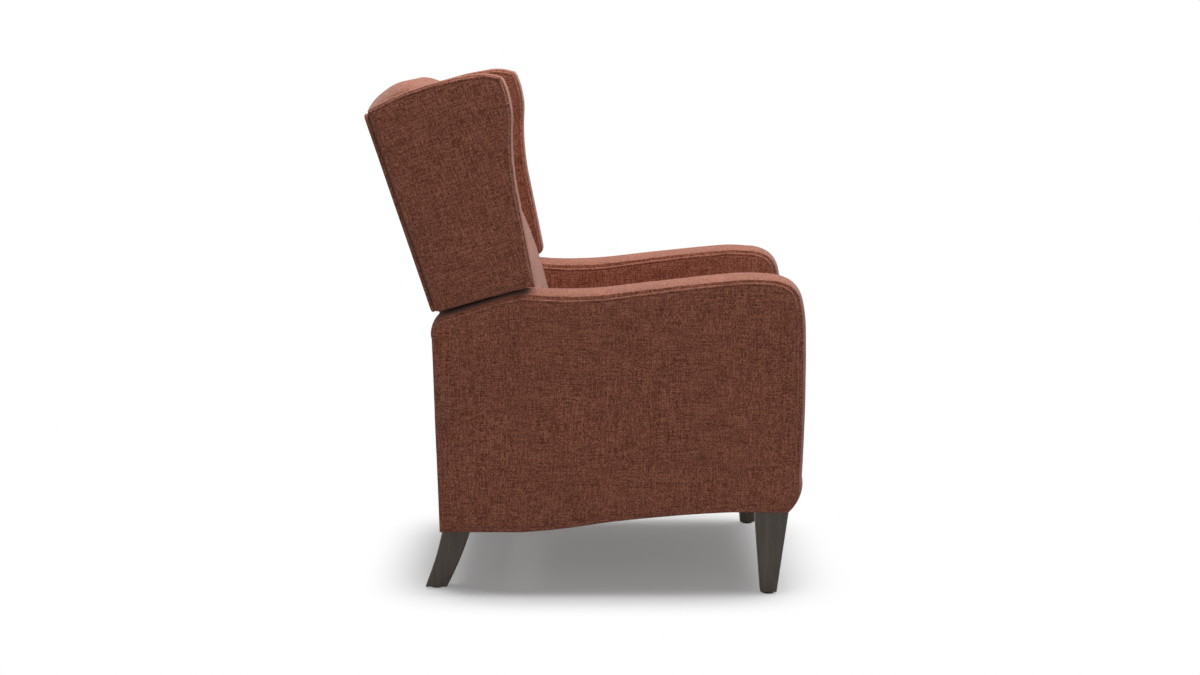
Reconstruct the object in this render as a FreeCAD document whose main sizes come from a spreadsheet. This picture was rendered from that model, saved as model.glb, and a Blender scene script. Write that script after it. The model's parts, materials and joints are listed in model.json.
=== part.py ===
import FreeCAD, Part
import math
import os
import re
from types import SimpleNamespace

import Sketcher

# High leg push-back recliner, millimetres.
# +Z is up, the front faces -Y and the sitter's right side is at -X.
# The origin is on the floor, in the middle of the chair's outer box.

Vector = FreeCAD.Vector
Rotation = FreeCAD.Rotation
Placement = FreeCAD.Placement

SIZES = {
    # Arms: flat outer faces, crowned top and front band
    "half_width": 380, "arm_wide": 134, "arm_crown": 13, "front_crown": 1.35,
    "arm_front": 458, "arm_back_low": 304, "arm_back_high": 318,
    "arm_low": 641, "arm_high": 673, "arm_corner_drop": 29,
    "front_bottom": 182, "rear_bottom": 140,
    "arm_pad": 16, "pocket_front": 375, "pocket_top": 372, "pocket_over": 10,
    # Wooden side panel inside each arm, with a block over each leg
    "panel_thick": 22, "panel_inset": 40, "panel_under": 30, "panel_knee": 22, "block_tall": 43,
    "front_block_long": 73, "block_cover": 8,
    "rear_block_long": 57, "rear_block_wide": 46, "rear_block_inset": 14,
    # Rails between the side panels
    "front_rail_at": 248, "front_rail_thick": 25, "front_rail_tall": 38,
    "rear_rail_thick": 22, "rear_rail_low": 146, "rear_rail_tall": 64,
    "tail_thick": 17, "tail_top": 378, "tail_side_gap": 0.6, "tail_crown": 4,
    "tail_side_roll": 30,
    # Legs and glides
    "front_leg_inset": 45, "front_leg_top": 70, "front_leg_foot": 34,
    "front_leg_top_at": 389, "front_leg_foot_at": 384.6,
    "rear_leg_inset": 95, "rear_leg_top": 61, "rear_leg_foot": 46,
    "rear_leg_top_at": 270, "rear_leg_foot_at": 317.5,
    "glide_dia": 24, "glide_tall": 5,
    "leg_bolt_dia": 8, "leg_bolt_hole": 8.2, "leg_bolt_in_leg": 32, "leg_bolt_in_block": 30,
    # Steel plates and the gaps between their layers
    "plate_thick": 3, "swing_gap": 7, "carriage_gap": 6, "link_gap": 3,
    "pin_dia": 8, "pin_hole": 8.1, "open_hole": 8.8, "pin_head": 14, "pin_head_tall": 2, "pin_play": 0.1,
    "screw_dia": 5, "screw_hole": 5.2, "screw_head": 9.5, "screw_head_tall": 2, "screw_long": 16,
    # Swing links that carry the seat forward and up
    "swing_long": 110, "swing_wide": 24, "swing_lean": 45,
    "front_swing_at": 250, "rear_swing_at": -20, "swing_low": 240,
    "base_plate_low": 224, "base_plate_tall": 34, "base_plate_overhang": 26,
    # Seat plates, frame and springs
    "seat_plate_low": 297, "seat_plate_front": 342, "rail_seat_z": 345, "flange_thick": 4,
    "seat_rail_thick": 24, "seat_rail_tall": 47, "seat_rail_gap": 4,
    "seat_frame_front": 382, "seat_frame_back": 162,
    "back_pivot_y": 225, "back_pivot_z": 345, "back_plate_wide": 30,
    "cross_tube_at": 60, "cross_tube_z": 316, "cross_tube_dia": 22, "cross_tube_wall": 1.5,
    "spring_wire": 3.8, "spring_count": 5, "spring_spacing": 78, "spring_loop": 17,
    "spring_loops": 19, "clip_wide": 16, "clip_long": 14, "clip_thick": 1.2,
    # Seat cushion
    "seat_side_gap": 3, "seat_front": 438, "seat_rear": 77,
    "seat_border": 486, "seat_top": 503, "seat_crown": 9, "seat_side_roll": 90, "soft_gap": 0.3,
    "seat_front_round": 24, "seat_rear_round": 10,
    # Footrest links, closed: angles from straight ahead, positive up
    "main_link": 141.1, "main_tilt": 9.37, "main_closed": 69.33, "main_open": 25,
    "main_pivot_at": 269.7, "main_pivot_z": 307.5,
    "stay_pivot_at": 322.2, "stay_pivot_z": 313.6,
    "rear_stay": 160.4, "rear_stay_angle": -78.8, "front_stay": 117.05, "front_stay_angle": 85.2,
    "link_wide": 22,
    # Footrest board and pad
    "board_back": 383, "board_thick": 15, "board_side_gap": 10, "board_low": 181, "board_high": 371,
    "pad_front": 434, "pad_side_gap": 5, "pad_low": 174, "pad_high": 377, "pad_crown": 5,
    "pad_side_roll": 50,
    "foot_flange_wide": 16, "foot_flange_low": 215,
    # Back, in its own frame: up along the back and forward out of it
    "back_angle": 18.4, "back_y": 311, "back_z": 598,
    "outside_rear": 4.5, "outside_thick": 9, "outside_inset": 4, "outside_arm_gap": 8,
    "outside_low": -229, "outside_step": 3, "outside_top": 430,
    "post_back": 5, "post_deep": 40, "post_wide": 38, "post_low": -230,
    "top_rail_low": 388, "top_rail_tall": 41, "wing_board_inset": 28,
    "mid_rail_low": 20, "mid_rail_tall": 40, "mid_rail_deep": 20,
    "low_rail_tall": 48, "low_rail_deep": 22, "wing_plate_thick": 12,
    "bracket_top": -140,
    "wing_wide": 80, "wing_crown": 5, "wing_top": 447, "wing_front": 290, "wing_foot": 220,
    "cushion_wing_gap": 0.5, "cushion_arm_gap": 6, "cushion_step": -3, "cushion_crown": 22,
    "cushion_side_roll": 110,
    "cushion_rear": 45.3, "cushion_low": -190, "roll_top": 471, "roll_front": 168, "lumbar": 208,
}

doc = FreeCAD.newDocument("high_leg_recliner")
sheet = doc.addObject("Spreadsheet::Sheet", "sizes")
for row, (name, number) in enumerate(SIZES.items(), start=1):
    sheet.set(f"A{row}", name)
    sheet.set(f"B{row}", str(number))
    sheet.setAlias(f"B{row}", name)
doc.recompute()
d = SimpleNamespace(**{name: float(sheet.get(name)) for name in SIZES})

# Places worked out from the driving sizes
inner_face = d.half_width - d.arm_wide
panel_face = inner_face + d.arm_pad
base_plate_x = panel_face - d.plate_thick
swing_x = base_plate_x - d.swing_gap - d.plate_thick
seat_plate_x = swing_x - d.carriage_gap - d.plate_thick
layer = d.plate_thick + d.link_gap
main_rear_x = seat_plate_x - layer
main_front_x = main_rear_x - layer
stay_rear_x = main_front_x - layer
stay_front_x = stay_rear_x - layer
foot_plate_x = stay_front_x - layer
back_plate_x = main_rear_x
wing_inner = d.half_width - d.wing_wide
seat_rail_side = seat_plate_x - d.seat_rail_gap
post_outer = back_plate_x
post_inner = post_outer - d.post_wide
rail_half = d.half_width - d.wing_board_inset
SIDES = (("right", -1), ("left", 1))

# Local X to world Y, local Y to world Z, local Z to world X
SIDEWAYS = Rotation(Vector(1, 1, 1), 120)
# Local Y to world Z, local Z to world -Y
FACING = Rotation(Vector(1, 0, 0), 90)
WORLD = Placement()
BACK = Placement(Vector(0, d.back_y, d.back_z), Rotation(Vector(1, 0, 0), -d.back_angle))

nodes = []


def bind(text):
    """A formula over the sheet's names, as an expression."""
    return re.sub(r"[a-z_]{2,}", r"sizes.\g<0>", str(text))


def keep(piece):
    """Mark a document object as a sub-part to be written."""
    nodes.append(piece)
    return piece


def origin_plane(body, role):
    return next(item for item in body.Origin.OriginFeatures if item.Role == role)


def point_constraints(sketch, geometry, position, where, formulas):
    for kind, value, formula in zip(("DistanceX", "DistanceY"), where, formulas):
        index = sketch.addConstraint(Sketcher.Constraint(kind, -1, 1, geometry, position, value))
        if formula is not None:
            sketch.setExpression(f"Constraints[{index}]", bind(formula))


def add_hole(sketch, centre, diameter, formulas=(None, None)):
    start = float(sheet.get(diameter))
    circle = sketch.addGeometry(Part.Circle(Vector(*centre, 0), Vector(0, 0, 1), start / 2))
    point_constraints(sketch, circle, 3, centre, formulas)
    index = sketch.addConstraint(Sketcher.Constraint("Diameter", circle, start))
    sketch.setExpression(f"Constraints[{index}]", bind(diameter))


def plate(label, outline, holes, thickness, placement):
    """A flat plate: straight outline, round holes, padded along its local Z."""
    body = doc.addObject("PartDesign::Body", label)
    sketch = body.newObject("Sketcher::SketchObject", f"{label}_outline")
    sketch.AttachmentSupport = [(origin_plane(body, "XY_Plane"), "")]
    sketch.MapMode = "FlatFace"
    count = len(outline)
    for index in range(count):
        start = Vector(*outline[index], 0)
        end = Vector(*outline[(index + 1) % count], 0)
        sketch.addGeometry(Part.LineSegment(start, end))
    for index in range(count):
        sketch.addConstraint(Sketcher.Constraint("Coincident", index, 2, (index + 1) % count, 1))
    for index in range(count):
        point_constraints(sketch, index, 1, outline[index], (None, None))
    for centre, diameter in holes:
        add_hole(sketch, centre, diameter)
    pad = body.newObject("PartDesign::Pad", f"{label}_pad")
    pad.Profile = sketch
    pad.setExpression("Length", bind(thickness))
    sketch.Visibility = False
    body.Placement = placement
    return body


def side_x(side, inner, thick):
    """The low X of a plate whose inner face lies at this distance from the middle."""
    return inner if side > 0 else -inner - thick


def side_plate(label, side, inner, outline, holes, thickness="plate_thick"):
    low = side_x(side, inner, float(sheet.get(thickness)))
    return plate(label, outline, holes, thickness, Placement(Vector(low, 0, 0), SIDEWAYS))


def link(label, side, inner, pivot, angle, length, width, far_hole="pin_hole"):
    """A flat link with round ends: one pivot at its origin, the other along local X."""
    half = float(sheet.get(width)) / 2
    reach = float(sheet.get(length))
    body = doc.addObject("PartDesign::Body", label)
    sketch = body.newObject("Sketcher::SketchObject", f"{label}_outline")
    sketch.AttachmentSupport = [(origin_plane(body, "XY_Plane"), "")]
    sketch.MapMode = "FlatFace"
    up = Vector(0, 0, 1)
    start = sketch.addGeometry(Part.ArcOfCircle(Part.Circle(Vector(), up, half), math.pi / 2, 1.5 * math.pi))
    lower = sketch.addGeometry(Part.LineSegment(Vector(0, -half, 0), Vector(reach, -half, 0)))
    far = Part.Circle(Vector(reach, 0, 0), up, half)
    end = sketch.addGeometry(Part.ArcOfCircle(far, -math.pi / 2, math.pi / 2))
    upper = sketch.addGeometry(Part.LineSegment(Vector(reach, half, 0), Vector(0, half, 0)))
    ring = ((start, lower), (lower, end), (end, upper), (upper, start))
    for first, second in ring:
        sketch.addConstraint(Sketcher.Constraint("Tangent", first, 2, second, 1))
    sketch.addConstraint(Sketcher.Constraint("Coincident", start, 3, -1, 1))
    sketch.addConstraint(Sketcher.Constraint("PointOnObject", end, 3, -1))
    index = sketch.addConstraint(Sketcher.Constraint("DistanceX", -1, 1, end, 3, reach))
    sketch.setExpression(f"Constraints[{index}]", bind(length))
    index = sketch.addConstraint(Sketcher.Constraint("Radius", start, half))
    sketch.setExpression(f"Constraints[{index}]", bind(f"{width} / 2"))
    add_hole(sketch, (0, 0), "pin_hole")
    add_hole(sketch, (reach, 0), far_hole, (length, None))
    pad = body.newObject("PartDesign::Pad", f"{label}_pad")
    pad.Profile = sketch
    pad.setExpression("Length", bind("plate_thick"))
    low = side_x(side, inner, d.plate_thick)
    turn = SIDEWAYS.multiply(Rotation(Vector(0, 0, 1), angle))
    body.Placement = Placement(Vector(low, *pivot), turn)
    return body


def block(label, lengths, corner, frame=WORLD):
    """A rectangular piece with its lengths bound to the sheet."""
    piece = doc.addObject("Part::Box", label)
    for name, formula in zip(("Length", "Width", "Height"), lengths):
        piece.setExpression(name, bind(formula))
    piece.Placement = frame.multiply(Placement(Vector(*corner), Rotation()))
    return piece


def rod(label, diameter, length, start, axis=Vector(0, 0, 1), frame=WORLD):
    """A round piece from its start point along an axis."""
    piece = doc.addObject("Part::Cylinder", label)
    piece.setExpression("Radius", bind(f"({diameter}) / 2"))
    piece.setExpression("Height", bind(length))
    piece.Placement = frame.multiply(Placement(Vector(*start), Rotation(Vector(0, 0, 1), axis)))
    return piece


def fuse(label, pieces):
    joined = doc.addObject("Part::MultiFuse", label)
    joined.Shapes = pieces
    return joined


def cut(label, base, tools):
    tool = tools[0]
    if len(tools) > 1:
        tool = fuse(f"{label}_tools", tools)
    result = doc.addObject("Part::Cut", label)
    result.Base = base
    result.Tool = tool
    return result


def group(label, pieces):
    bundle = doc.addObject("Part::Compound", label)
    bundle.Links = pieces
    return bundle


def pin(label, side, outer, inner, at, frame=WORLD, outer_head=True):
    """A shouldered pin through two plates, whose inner faces lie at outer and inner."""
    y, z = at
    play = d.pin_play
    head = d.pin_head_tall
    top = outer + d.plate_thick + (play + head if outer_head else 0)
    bottom = inner - play - head
    axis = Vector(side, 0, 0)
    reach = f"{top - bottom}"
    parts = [rod(f"{label}_shank", "pin_dia", reach, (side * bottom, y, z), axis, frame)]
    parts.append(rod(f"{label}_foot", "pin_head", "pin_head_tall", (side * bottom, y, z), axis, frame))
    low = inner + d.plate_thick + play
    between = f"{outer - low - play}"
    parts.append(rod(f"{label}_shoulder", "pin_head", between, (side * low, y, z), axis, frame))
    if outer_head:
        start = (side * (top - head), y, z)
        parts.append(rod(f"{label}_head", "pin_head", "pin_head_tall", start, axis, frame))
    return fuse(label, parts)


def screw(label, start, axis, frame=WORLD, length="screw_long"):
    """A screw whose head lies on the surface at start and whose shank runs against the axis."""
    shank = rod(f"{label}_shank", "screw_dia", length, start, axis * -1, frame)
    head = rod(f"{label}_head", "screw_head", "screw_head_tall", start, axis, frame)
    return fuse(label, [shank, head])


def bow(start, middle, end):
    """An arc through three points, or a straight edge where they lie in line."""
    chord = end - start
    if chord.cross(middle - start).Length < 1e-3 * chord.Length:
        return Part.LineSegment(start, end).toShape()
    return Part.Arc(start, middle, end).toShape()


def section(outline, inset, x, frame):
    """One closed slice at x of an outline of lines and arcs, drawn in along its normals."""
    def place(key):
        a, b, normal_a, normal_b = key
        point = Vector(x, a - normal_a * inset, b - normal_b * inset)
        return frame.multVec(point)

    edges = []
    start = place(outline[-1][-1])
    for step in outline:
        end = place(step[-1])
        if len(step) == 2:
            edges.append(bow(start, place(step[0]), end))
        else:
            edges.append(Part.LineSegment(start, end).toShape())
        start = end
    return Part.Wire(edges)


def crowned(label, outline, stations, frame=WORLD):
    """A stuffed form: a loft through slices of one outline at (x, inset) stations."""
    wires = [section(outline, inset, x, frame) for x, inset in stations]
    form = Part.makeLoft(wires, True, True)
    piece = doc.addObject("Part::Feature", label)
    piece.Shape = form
    return piece


def mirrored(stations, side):
    return [(side * x, inset) for x, inset in stations]


def puff(outer, inner, crown, steps=8):
    """Stations across a boxed edge: full inset at both seams, none in the middle."""
    stations = []
    for index in range(steps + 1):
        turn = math.pi * index / steps
        share = (1 - math.cos(turn)) / 2
        stations.append((outer - (outer - inner) * share, crown * (1 - math.sin(turn) ** 0.8)))
    return stations


def pillow(half, crown, border, steps=5):
    """Stations across a cushion: drawn in at both side seams over the width of its border."""
    stations = []
    for index in range(steps + 1):
        turn = math.pi / 2 * index / steps
        stations.append((-half + border * (1 - math.cos(turn)), crown * (1 - math.sin(turn))))
    return stations + [(-x, inset) for x, inset in reversed(stations)]


def arm_outline():
    """The arm from the side, from its rear bottom corner over the top to the front."""
    front = -d.arm_front
    low = d.arm_low
    high = d.arm_high
    top = d.front_crown
    back_low = d.arm_back_low
    back_high = d.arm_back_high
    shoulder = high - d.arm_corner_drop
    return [
        [(back_high, low - 96, 0.2, 0)],
        [(back_high - 4, low - 61, 0.4, 0.4), (back_high - 22, low - 45, 0.4, 0.9)],
        [(back_low - 132, low - 5, 0.2, 1)],
        [(back_low - 174, low + 2, 0, 1), (back_low - 216, low + 0.5, 0, 1)],
        [(back_low - 284, low, 0, 1.1), (back_low - 364, low + 5.5, 0, 1.1)],
        [(back_low - 484, low + 19, 0, 0.9), (front + 153, high - 1, 0, 0.8)],
        [(front + 115, high + 1, -0.1, 0.8), (front + 77, high - 1, -0.3, 0.8)],
        [(front + 50, high - 5, -0.6, 0.75), (front + 30, high - 14, -0.9, 0.6)],
        [(front + 16, shoulder, -1, 0.4), (front + 8, shoulder - 19, -1.15, 0.2)],
        [(front + 3, shoulder - 46, -1.25, 0.1), (front, shoulder - 85, -top, 0)],
        [(front - 0.5, shoulder - 250, -top, 0), (front + 4, d.front_bottom + 69, -top, 0)],
        [(front + 10, d.front_bottom + 23, -top, 0), (front + 29, d.front_bottom, -0.9, 0)],
        [(front + 153, d.front_bottom, 0, 0)],
        [(front + 290, d.front_bottom - 8, 0, 0), (back_low - 331, d.rear_bottom + 18.5, 0, 0)],
        [(back_low - 256, d.rear_bottom + 7.5, 0, 0), (back_low - 170, d.rear_bottom, 0, 0)],
        [(back_low, d.rear_bottom, 0, 0)],
    ]


def arm_panel_outline():
    """The wooden panel inside the arm, clear of the padding above and before it."""
    front = -d.arm_front + d.panel_inset
    back = d.arm_back_low - d.rear_block_inset
    under = d.panel_under
    return [
        (front, d.front_bottom), (front, d.arm_high - 72), (front + 33, d.arm_high - under - 3),
        (front + 118, d.arm_high - under + 3), (-60, d.arm_low + 5 - under),
        (95, d.arm_low - under), (d.arm_back_low - 131, d.arm_low - 6 - under),
        (back - 5, d.arm_low - 42 - under), (back, d.rear_bottom),
        (back - d.rear_block_long, d.rear_bottom),
        (back - d.rear_block_long, d.rear_bottom + d.panel_knee), (-60, d.front_bottom + 6),
        (front + d.front_block_long, d.front_bottom + 14),
        (front + d.front_block_long, d.front_bottom),
    ]


def make_arms(screws):
    outline = arm_outline()
    stations = puff(d.half_width, inner_face, d.arm_crown)
    for name, side in SIDES:
        panel = side_plate(f"{name}_arm_panel", side, panel_face, arm_panel_outline(), [], "panel_thick")
        front = -d.arm_front + d.panel_inset
        block_x = panel_face + d.panel_thick
        front_wide = d.half_width - d.block_cover - block_x
        front_x = side_x(side, block_x, front_wide)
        lengths = (f"{front_wide}", "front_block_long", "block_tall")
        front_block = block(f"{name}_front_block", lengths, (front_x, front, d.front_bottom))
        rear_x = side_x(side, block_x, d.rear_block_wide)
        rear_y = d.arm_back_low - d.rear_block_inset - d.rear_block_long
        lengths = ("rear_block_wide", "rear_block_long", "block_tall")
        rear_block = block(f"{name}_rear_block", lengths, (rear_x, rear_y, d.rear_bottom))
        frame = fuse(f"{name}_arm_wood", [panel, front_block, rear_block])
        bolts = [leg_bolt_cutter(f"{name}_{end}_arm", end, side) for end in ("front", "rear")]
        held = [item for item in screws if item.Label.startswith(name)]
        keep(cut(f"{name}_arm_frame", frame, bolts + held))
        form = crowned(f"{name}_arm_form", outline, mirrored(stations, side))
        pocket_x = side_x(side, inner_face - d.pocket_over, d.arm_pad + d.pocket_over)
        pocket = block(
            f"{name}_pocket",
            ("arm_pad + pocket_over", "pocket_front + arm_back_low - tail_thick", "pocket_top"),
            (pocket_x, -d.pocket_front, 0),
        )
        keep(cut(f"{name}_arm_cover", form, [frame, pocket]))


def leg_places():
    """For each end: leg centre x, top y, foot y and top z."""
    return {
        "front": (d.half_width - d.front_leg_inset, -d.front_leg_top_at, -d.front_leg_foot_at, d.front_bottom),
        "rear": (d.half_width - d.rear_leg_inset, d.rear_leg_top_at, d.rear_leg_foot_at, d.rear_bottom),
    }


def leg_bolt_cutter(label, end, side):
    """The bore of the hanger bolt that joins a leg to its block."""
    x, y, foot, z = leg_places()[end]
    reach = "leg_bolt_in_leg + leg_bolt_in_block"
    start = (side * x, y, z - d.leg_bolt_in_leg)
    return rod(f"{label}_bore", "leg_bolt_hole", reach, start)


def leg(label, end, side):
    """A square tapered leg, lofted from its foot to its top, with a bore for its bolt."""
    x, top_y, foot_y, top_z = leg_places()[end]
    body = doc.addObject("PartDesign::Body", f"{label}_body")
    profiles = []
    for level, width, y, z in (("foot", f"{end}_leg_foot", foot_y, d.glide_tall),
                               ("top", f"{end}_leg_top", top_y, top_z)):
        half = float(sheet.get(width)) / 2
        sketch = body.newObject("Sketcher::SketchObject", f"{label}_{level}")
        sketch.AttachmentSupport = [(origin_plane(body, "XY_Plane"), "")]
        sketch.MapMode = "FlatFace"
        sketch.AttachmentOffset = Placement(Vector(side * x, y, z), Rotation())
        corners = [Vector(-half, -half, 0), Vector(half, -half, 0),
                   Vector(half, half, 0), Vector(-half, half, 0)]
        for index in range(4):
            sketch.addGeometry(Part.LineSegment(corners[index], corners[(index + 1) % 4]))
        for index in range(4):
            sketch.addConstraint(Sketcher.Constraint("Coincident", index, 2, (index + 1) % 4, 1))
        for index in (0, 2):
            sketch.addConstraint(Sketcher.Constraint("Horizontal", index))
            sketch.addConstraint(Sketcher.Constraint("Vertical", index + 1))
        sketch.addConstraint(Sketcher.Constraint("Symmetric", 0, 1, 2, 1, -1, 1))
        for kind, item in (("DistanceX", 0), ("DistanceY", 1)):
            index = sketch.addConstraint(Sketcher.Constraint(kind, item, 1, item, 2, half * 2))
            sketch.setExpression(f"Constraints[{index}]", bind(width))
        sketch.Visibility = False
        profiles.append(sketch)
    loft = body.newObject("PartDesign::AdditiveLoft", f"{label}_loft")
    loft.Profile = profiles[0]
    loft.Sections = profiles[1:]
    loft.Ruled = True
    return cut(label, body, [leg_bolt_cutter(label, end, side)])


def make_legs():
    glides = []
    bolts = []
    for end in ("front", "rear"):
        for name, side in SIDES:
            keep(leg(f"{end}_{name}_leg", end, side))
            x, top_y, foot_y, top_z = leg_places()[end]
            glides.append(rod(f"{end}_{name}_glide", "glide_dia", "glide_tall", (side * x, foot_y, 0)))
            start = (side * x, top_y, top_z - d.leg_bolt_in_leg)
            reach = "leg_bolt_in_leg + leg_bolt_in_block"
            bolts.append(rod(f"{end}_{name}_bolt", "leg_bolt_dia", reach, start))
    keep(group("leg_glides", glides))
    keep(group("leg_bolts", bolts))


def make_rails():
    across = f"2 * {panel_face}"
    lengths = (across, "front_rail_thick", "front_rail_tall")
    corner = (-panel_face, -d.front_rail_at - d.front_rail_thick / 2, d.front_bottom + 2)
    keep(block("front_rail", lengths, corner))
    lengths = (across, "rear_rail_thick", "rear_rail_tall")
    rear_y = d.arm_back_low - d.tail_thick - d.rear_rail_thick
    keep(block("rear_rail", lengths, (-panel_face, rear_y, d.rear_rail_low)))
    half = inner_face - d.tail_side_gap
    rear = d.arm_back_low
    inside = rear - d.tail_thick
    outline = [
        [(rear - 5, d.tail_top - 2, 0.7, 0.3), (inside + 4, d.tail_top, 0, 0.3)],
        [(inside, d.tail_top, 0, 0.3)],
        [(inside, d.rear_bottom, 0, 0)],
        [(rear - 6, d.rear_bottom, 1, 0)],
        [(rear, (d.tail_top + d.rear_bottom) / 2, 1, 0), (rear - 2, d.tail_top - 12, 1, 0)],
    ]
    keep(crowned("tail_panel", outline, pillow(half, d.tail_crown, d.tail_side_roll)))


def swing_pivots(lower=True):
    """Pivot places (y, z) of the front and rear swing links at rest."""
    lean = math.radians(d.swing_lean)
    shift = (0, 0) if lower else (d.swing_long * math.sin(lean), d.swing_long * math.cos(lean))
    return {
        "front": (-d.front_swing_at + shift[0], d.swing_low + shift[1]),
        "rear": (-d.rear_swing_at + shift[0], d.swing_low + shift[1]),
    }


def make_base_plates():
    low = d.base_plate_low
    high = low + d.base_plate_tall
    front = -d.front_swing_at - d.base_plate_overhang
    rear = -d.rear_swing_at + d.base_plate_overhang
    holes = [(at, "pin_hole") for at in swing_pivots().values()]
    middle = (low + high) / 2
    screw_places = [front + 8, (front + rear) / 2, rear - 8]
    holes += [((y, middle + 8), "screw_hole") for y in screw_places]
    outline = [(front, low), (rear, low), (rear, high), (front, high)]
    screws = []
    for name, side in SIDES:
        keep(side_plate(f"{name}_base_plate", side, base_plate_x, outline, holes))
        for index, y in enumerate(screw_places):
            start = (side * base_plate_x, y, middle + 8)
            screws.append(screw(f"{name}_base_screw_{index}", start, Vector(-side, 0, 0)))
    keep(group("base_plate_screws", screws))
    return screws


def make_swing_links():
    pins = []
    for end, at in swing_pivots().items():
        for name, side in SIDES:
            angle = 90 - d.swing_lean
            keep(link(f"{name}_{end}_swing_link", side, swing_x, at, angle, "swing_long", "swing_wide"))
            pins.append(pin(f"{name}_{end}_swing_pin", side, base_plate_x, swing_x, at, outer_head=False))
    keep(group("lower_swing_pins", pins))


def ahead(angle):
    """A unit step in (y, z) at an angle from straight ahead, positive up."""
    turn = math.radians(angle)
    return Vector(0, -math.cos(turn), math.sin(turn))


def footrest_points():
    """Pivots of the footrest links at rest, with the footrest closed."""
    main = Vector(0, -d.main_pivot_at, d.main_pivot_z)
    main_knee = main + ahead(d.main_tilt - d.main_closed) * d.main_link
    upper = main_knee + ahead(d.main_tilt + d.main_closed) * d.main_link
    stay = Vector(0, -d.stay_pivot_at, d.stay_pivot_z)
    stay_knee = stay + ahead(d.rear_stay_angle) * d.rear_stay
    lower = stay_knee + ahead(d.front_stay_angle) * d.front_stay
    names = ("main", "main_knee", "upper", "stay", "stay_knee", "lower")
    points = (main, main_knee, upper, stay, stay_knee, lower)
    return {name: (point.y, point.z) for name, point in zip(names, points)}


def make_footrest_links():
    at = footrest_points()
    rows = (
        ("rear_main_link", main_rear_x, "main", d.main_tilt - d.main_closed, "main_link", "pin_hole"),
        ("front_main_link", main_front_x, "main_knee", d.main_tilt + d.main_closed, "main_link", "pin_hole"),
        ("rear_stay_link", stay_rear_x, "stay", d.rear_stay_angle, "rear_stay", "pin_hole"),
        ("front_stay_link", stay_front_x, "stay_knee", d.front_stay_angle, "front_stay", "open_hole"),
    )
    for label, x, start, angle, length, far in rows:
        for name, side in SIDES:
            keep(link(f"{name}_{label}", side, x, at[start], 180 - angle, length, "link_wide", far))
    main_pins = []
    stay_pins = []
    for name, side in SIDES:
        main_pins.append(pin(f"{name}_main_knee", side, main_rear_x, main_front_x, at["main_knee"]))
        stay_pins.append(pin(f"{name}_stay_knee", side, stay_rear_x, stay_front_x, at["stay_knee"]))
    keep(group("main_knee_pins", main_pins))
    keep(group("stay_knee_pins", stay_pins))


def make_seat_plates():
    at = footrest_points()
    upper = swing_pivots(lower=False)
    low = d.seat_plate_low
    top = d.rail_seat_z
    front = -d.seat_plate_front
    back_y = d.back_pivot_y
    back_z = d.back_pivot_z
    half = d.back_plate_wide / 2
    outline = [
        (front, low), (upper["rear"][0] + 40, low), (back_y + half, back_z - half),
        (back_y + half, back_z + 9), (back_y + 9, back_z + half), (back_y - half, back_z + half),
        (d.seat_frame_back + 6, top), (front, top),
    ]
    places = [upper["front"], upper["rear"], at["main"], at["stay"], (back_y, back_z)]
    holes = [(place, "pin_hole") for place in places]
    pins = []
    screws = []
    reach = d.seat_frame_back + d.seat_plate_front
    for name, side in SIDES:
        web = side_plate(f"{name}_seat_web", side, seat_plate_x, outline, holes)
        flange_in = seat_rail_side - d.seat_rail_thick
        flange_wide = seat_plate_x - flange_in
        flange = block(
            f"{name}_seat_flange",
            (f"{flange_wide}", f"{reach}", "flange_thick"),
            (side_x(side, flange_in, flange_wide), front, top - d.flange_thick),
        )
        plates = fuse(f"{name}_seat_plate_blank", [web, flange])
        bores = []
        for index, y in enumerate((front + 30, (front + d.seat_frame_back) / 2, d.seat_frame_back - 30)):
            x = side * (seat_rail_side - d.seat_rail_thick / 2)
            start = (x, y, top - d.flange_thick)
            bores.append(rod(f"{name}_seat_bore_{index}", "screw_hole", "flange_thick", start))
            screws.append(screw(f"{name}_seat_screw_{index}", start, Vector(0, 0, -1)))
        keep(cut(f"{name}_seat_plate", plates, bores))
        for end in ("front", "rear"):
            pins.append(pin(f"{name}_{end}_upper_swing_pin", side, swing_x, seat_plate_x, upper[end]))
        pins.append(pin(f"{name}_main_pin", side, seat_plate_x, main_rear_x, at["main"]))
        pins.append(pin(f"{name}_stay_pin", side, seat_plate_x, stay_rear_x, at["stay"]))
        pins.append(pin(f"{name}_back_pin", side, seat_plate_x, back_plate_x, (back_y, back_z)))
    keep(group("seat_plate_pins", pins))
    return screws


def make_seat_frame(screws):
    low = d.rail_seat_z
    thick = d.seat_rail_thick
    front = -d.seat_frame_front
    inner = seat_rail_side - thick
    long = "seat_frame_front + seat_frame_back"
    rails = []
    for name, side in SIDES:
        corner = (side_x(side, inner, thick), front, low)
        rail = block(f"{name}_seat_rail_blank", ("seat_rail_thick", long, "seat_rail_tall"), corner)
        held = [item for item in screws if item.Label.startswith(name)]
        rails.append(cut(f"{name}_seat_rail", rail, held))
    keep(group("side_seat_rails", rails))
    lengths = (f"2 * {inner}", "seat_rail_thick", "seat_rail_tall")
    keep(block("front_seat_rail", lengths, (-inner, front, low)))
    keep(block("rear_seat_rail", lengths, (-inner, d.seat_frame_back - thick, low)))
    keep(group("seat_plate_screws", screws))


def spring_span():
    """First and last Y of the springs, on the middles of the front and rear rails."""
    inset = d.seat_rail_thick / 2
    return inset - d.seat_frame_front, d.seat_frame_back - inset


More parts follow.
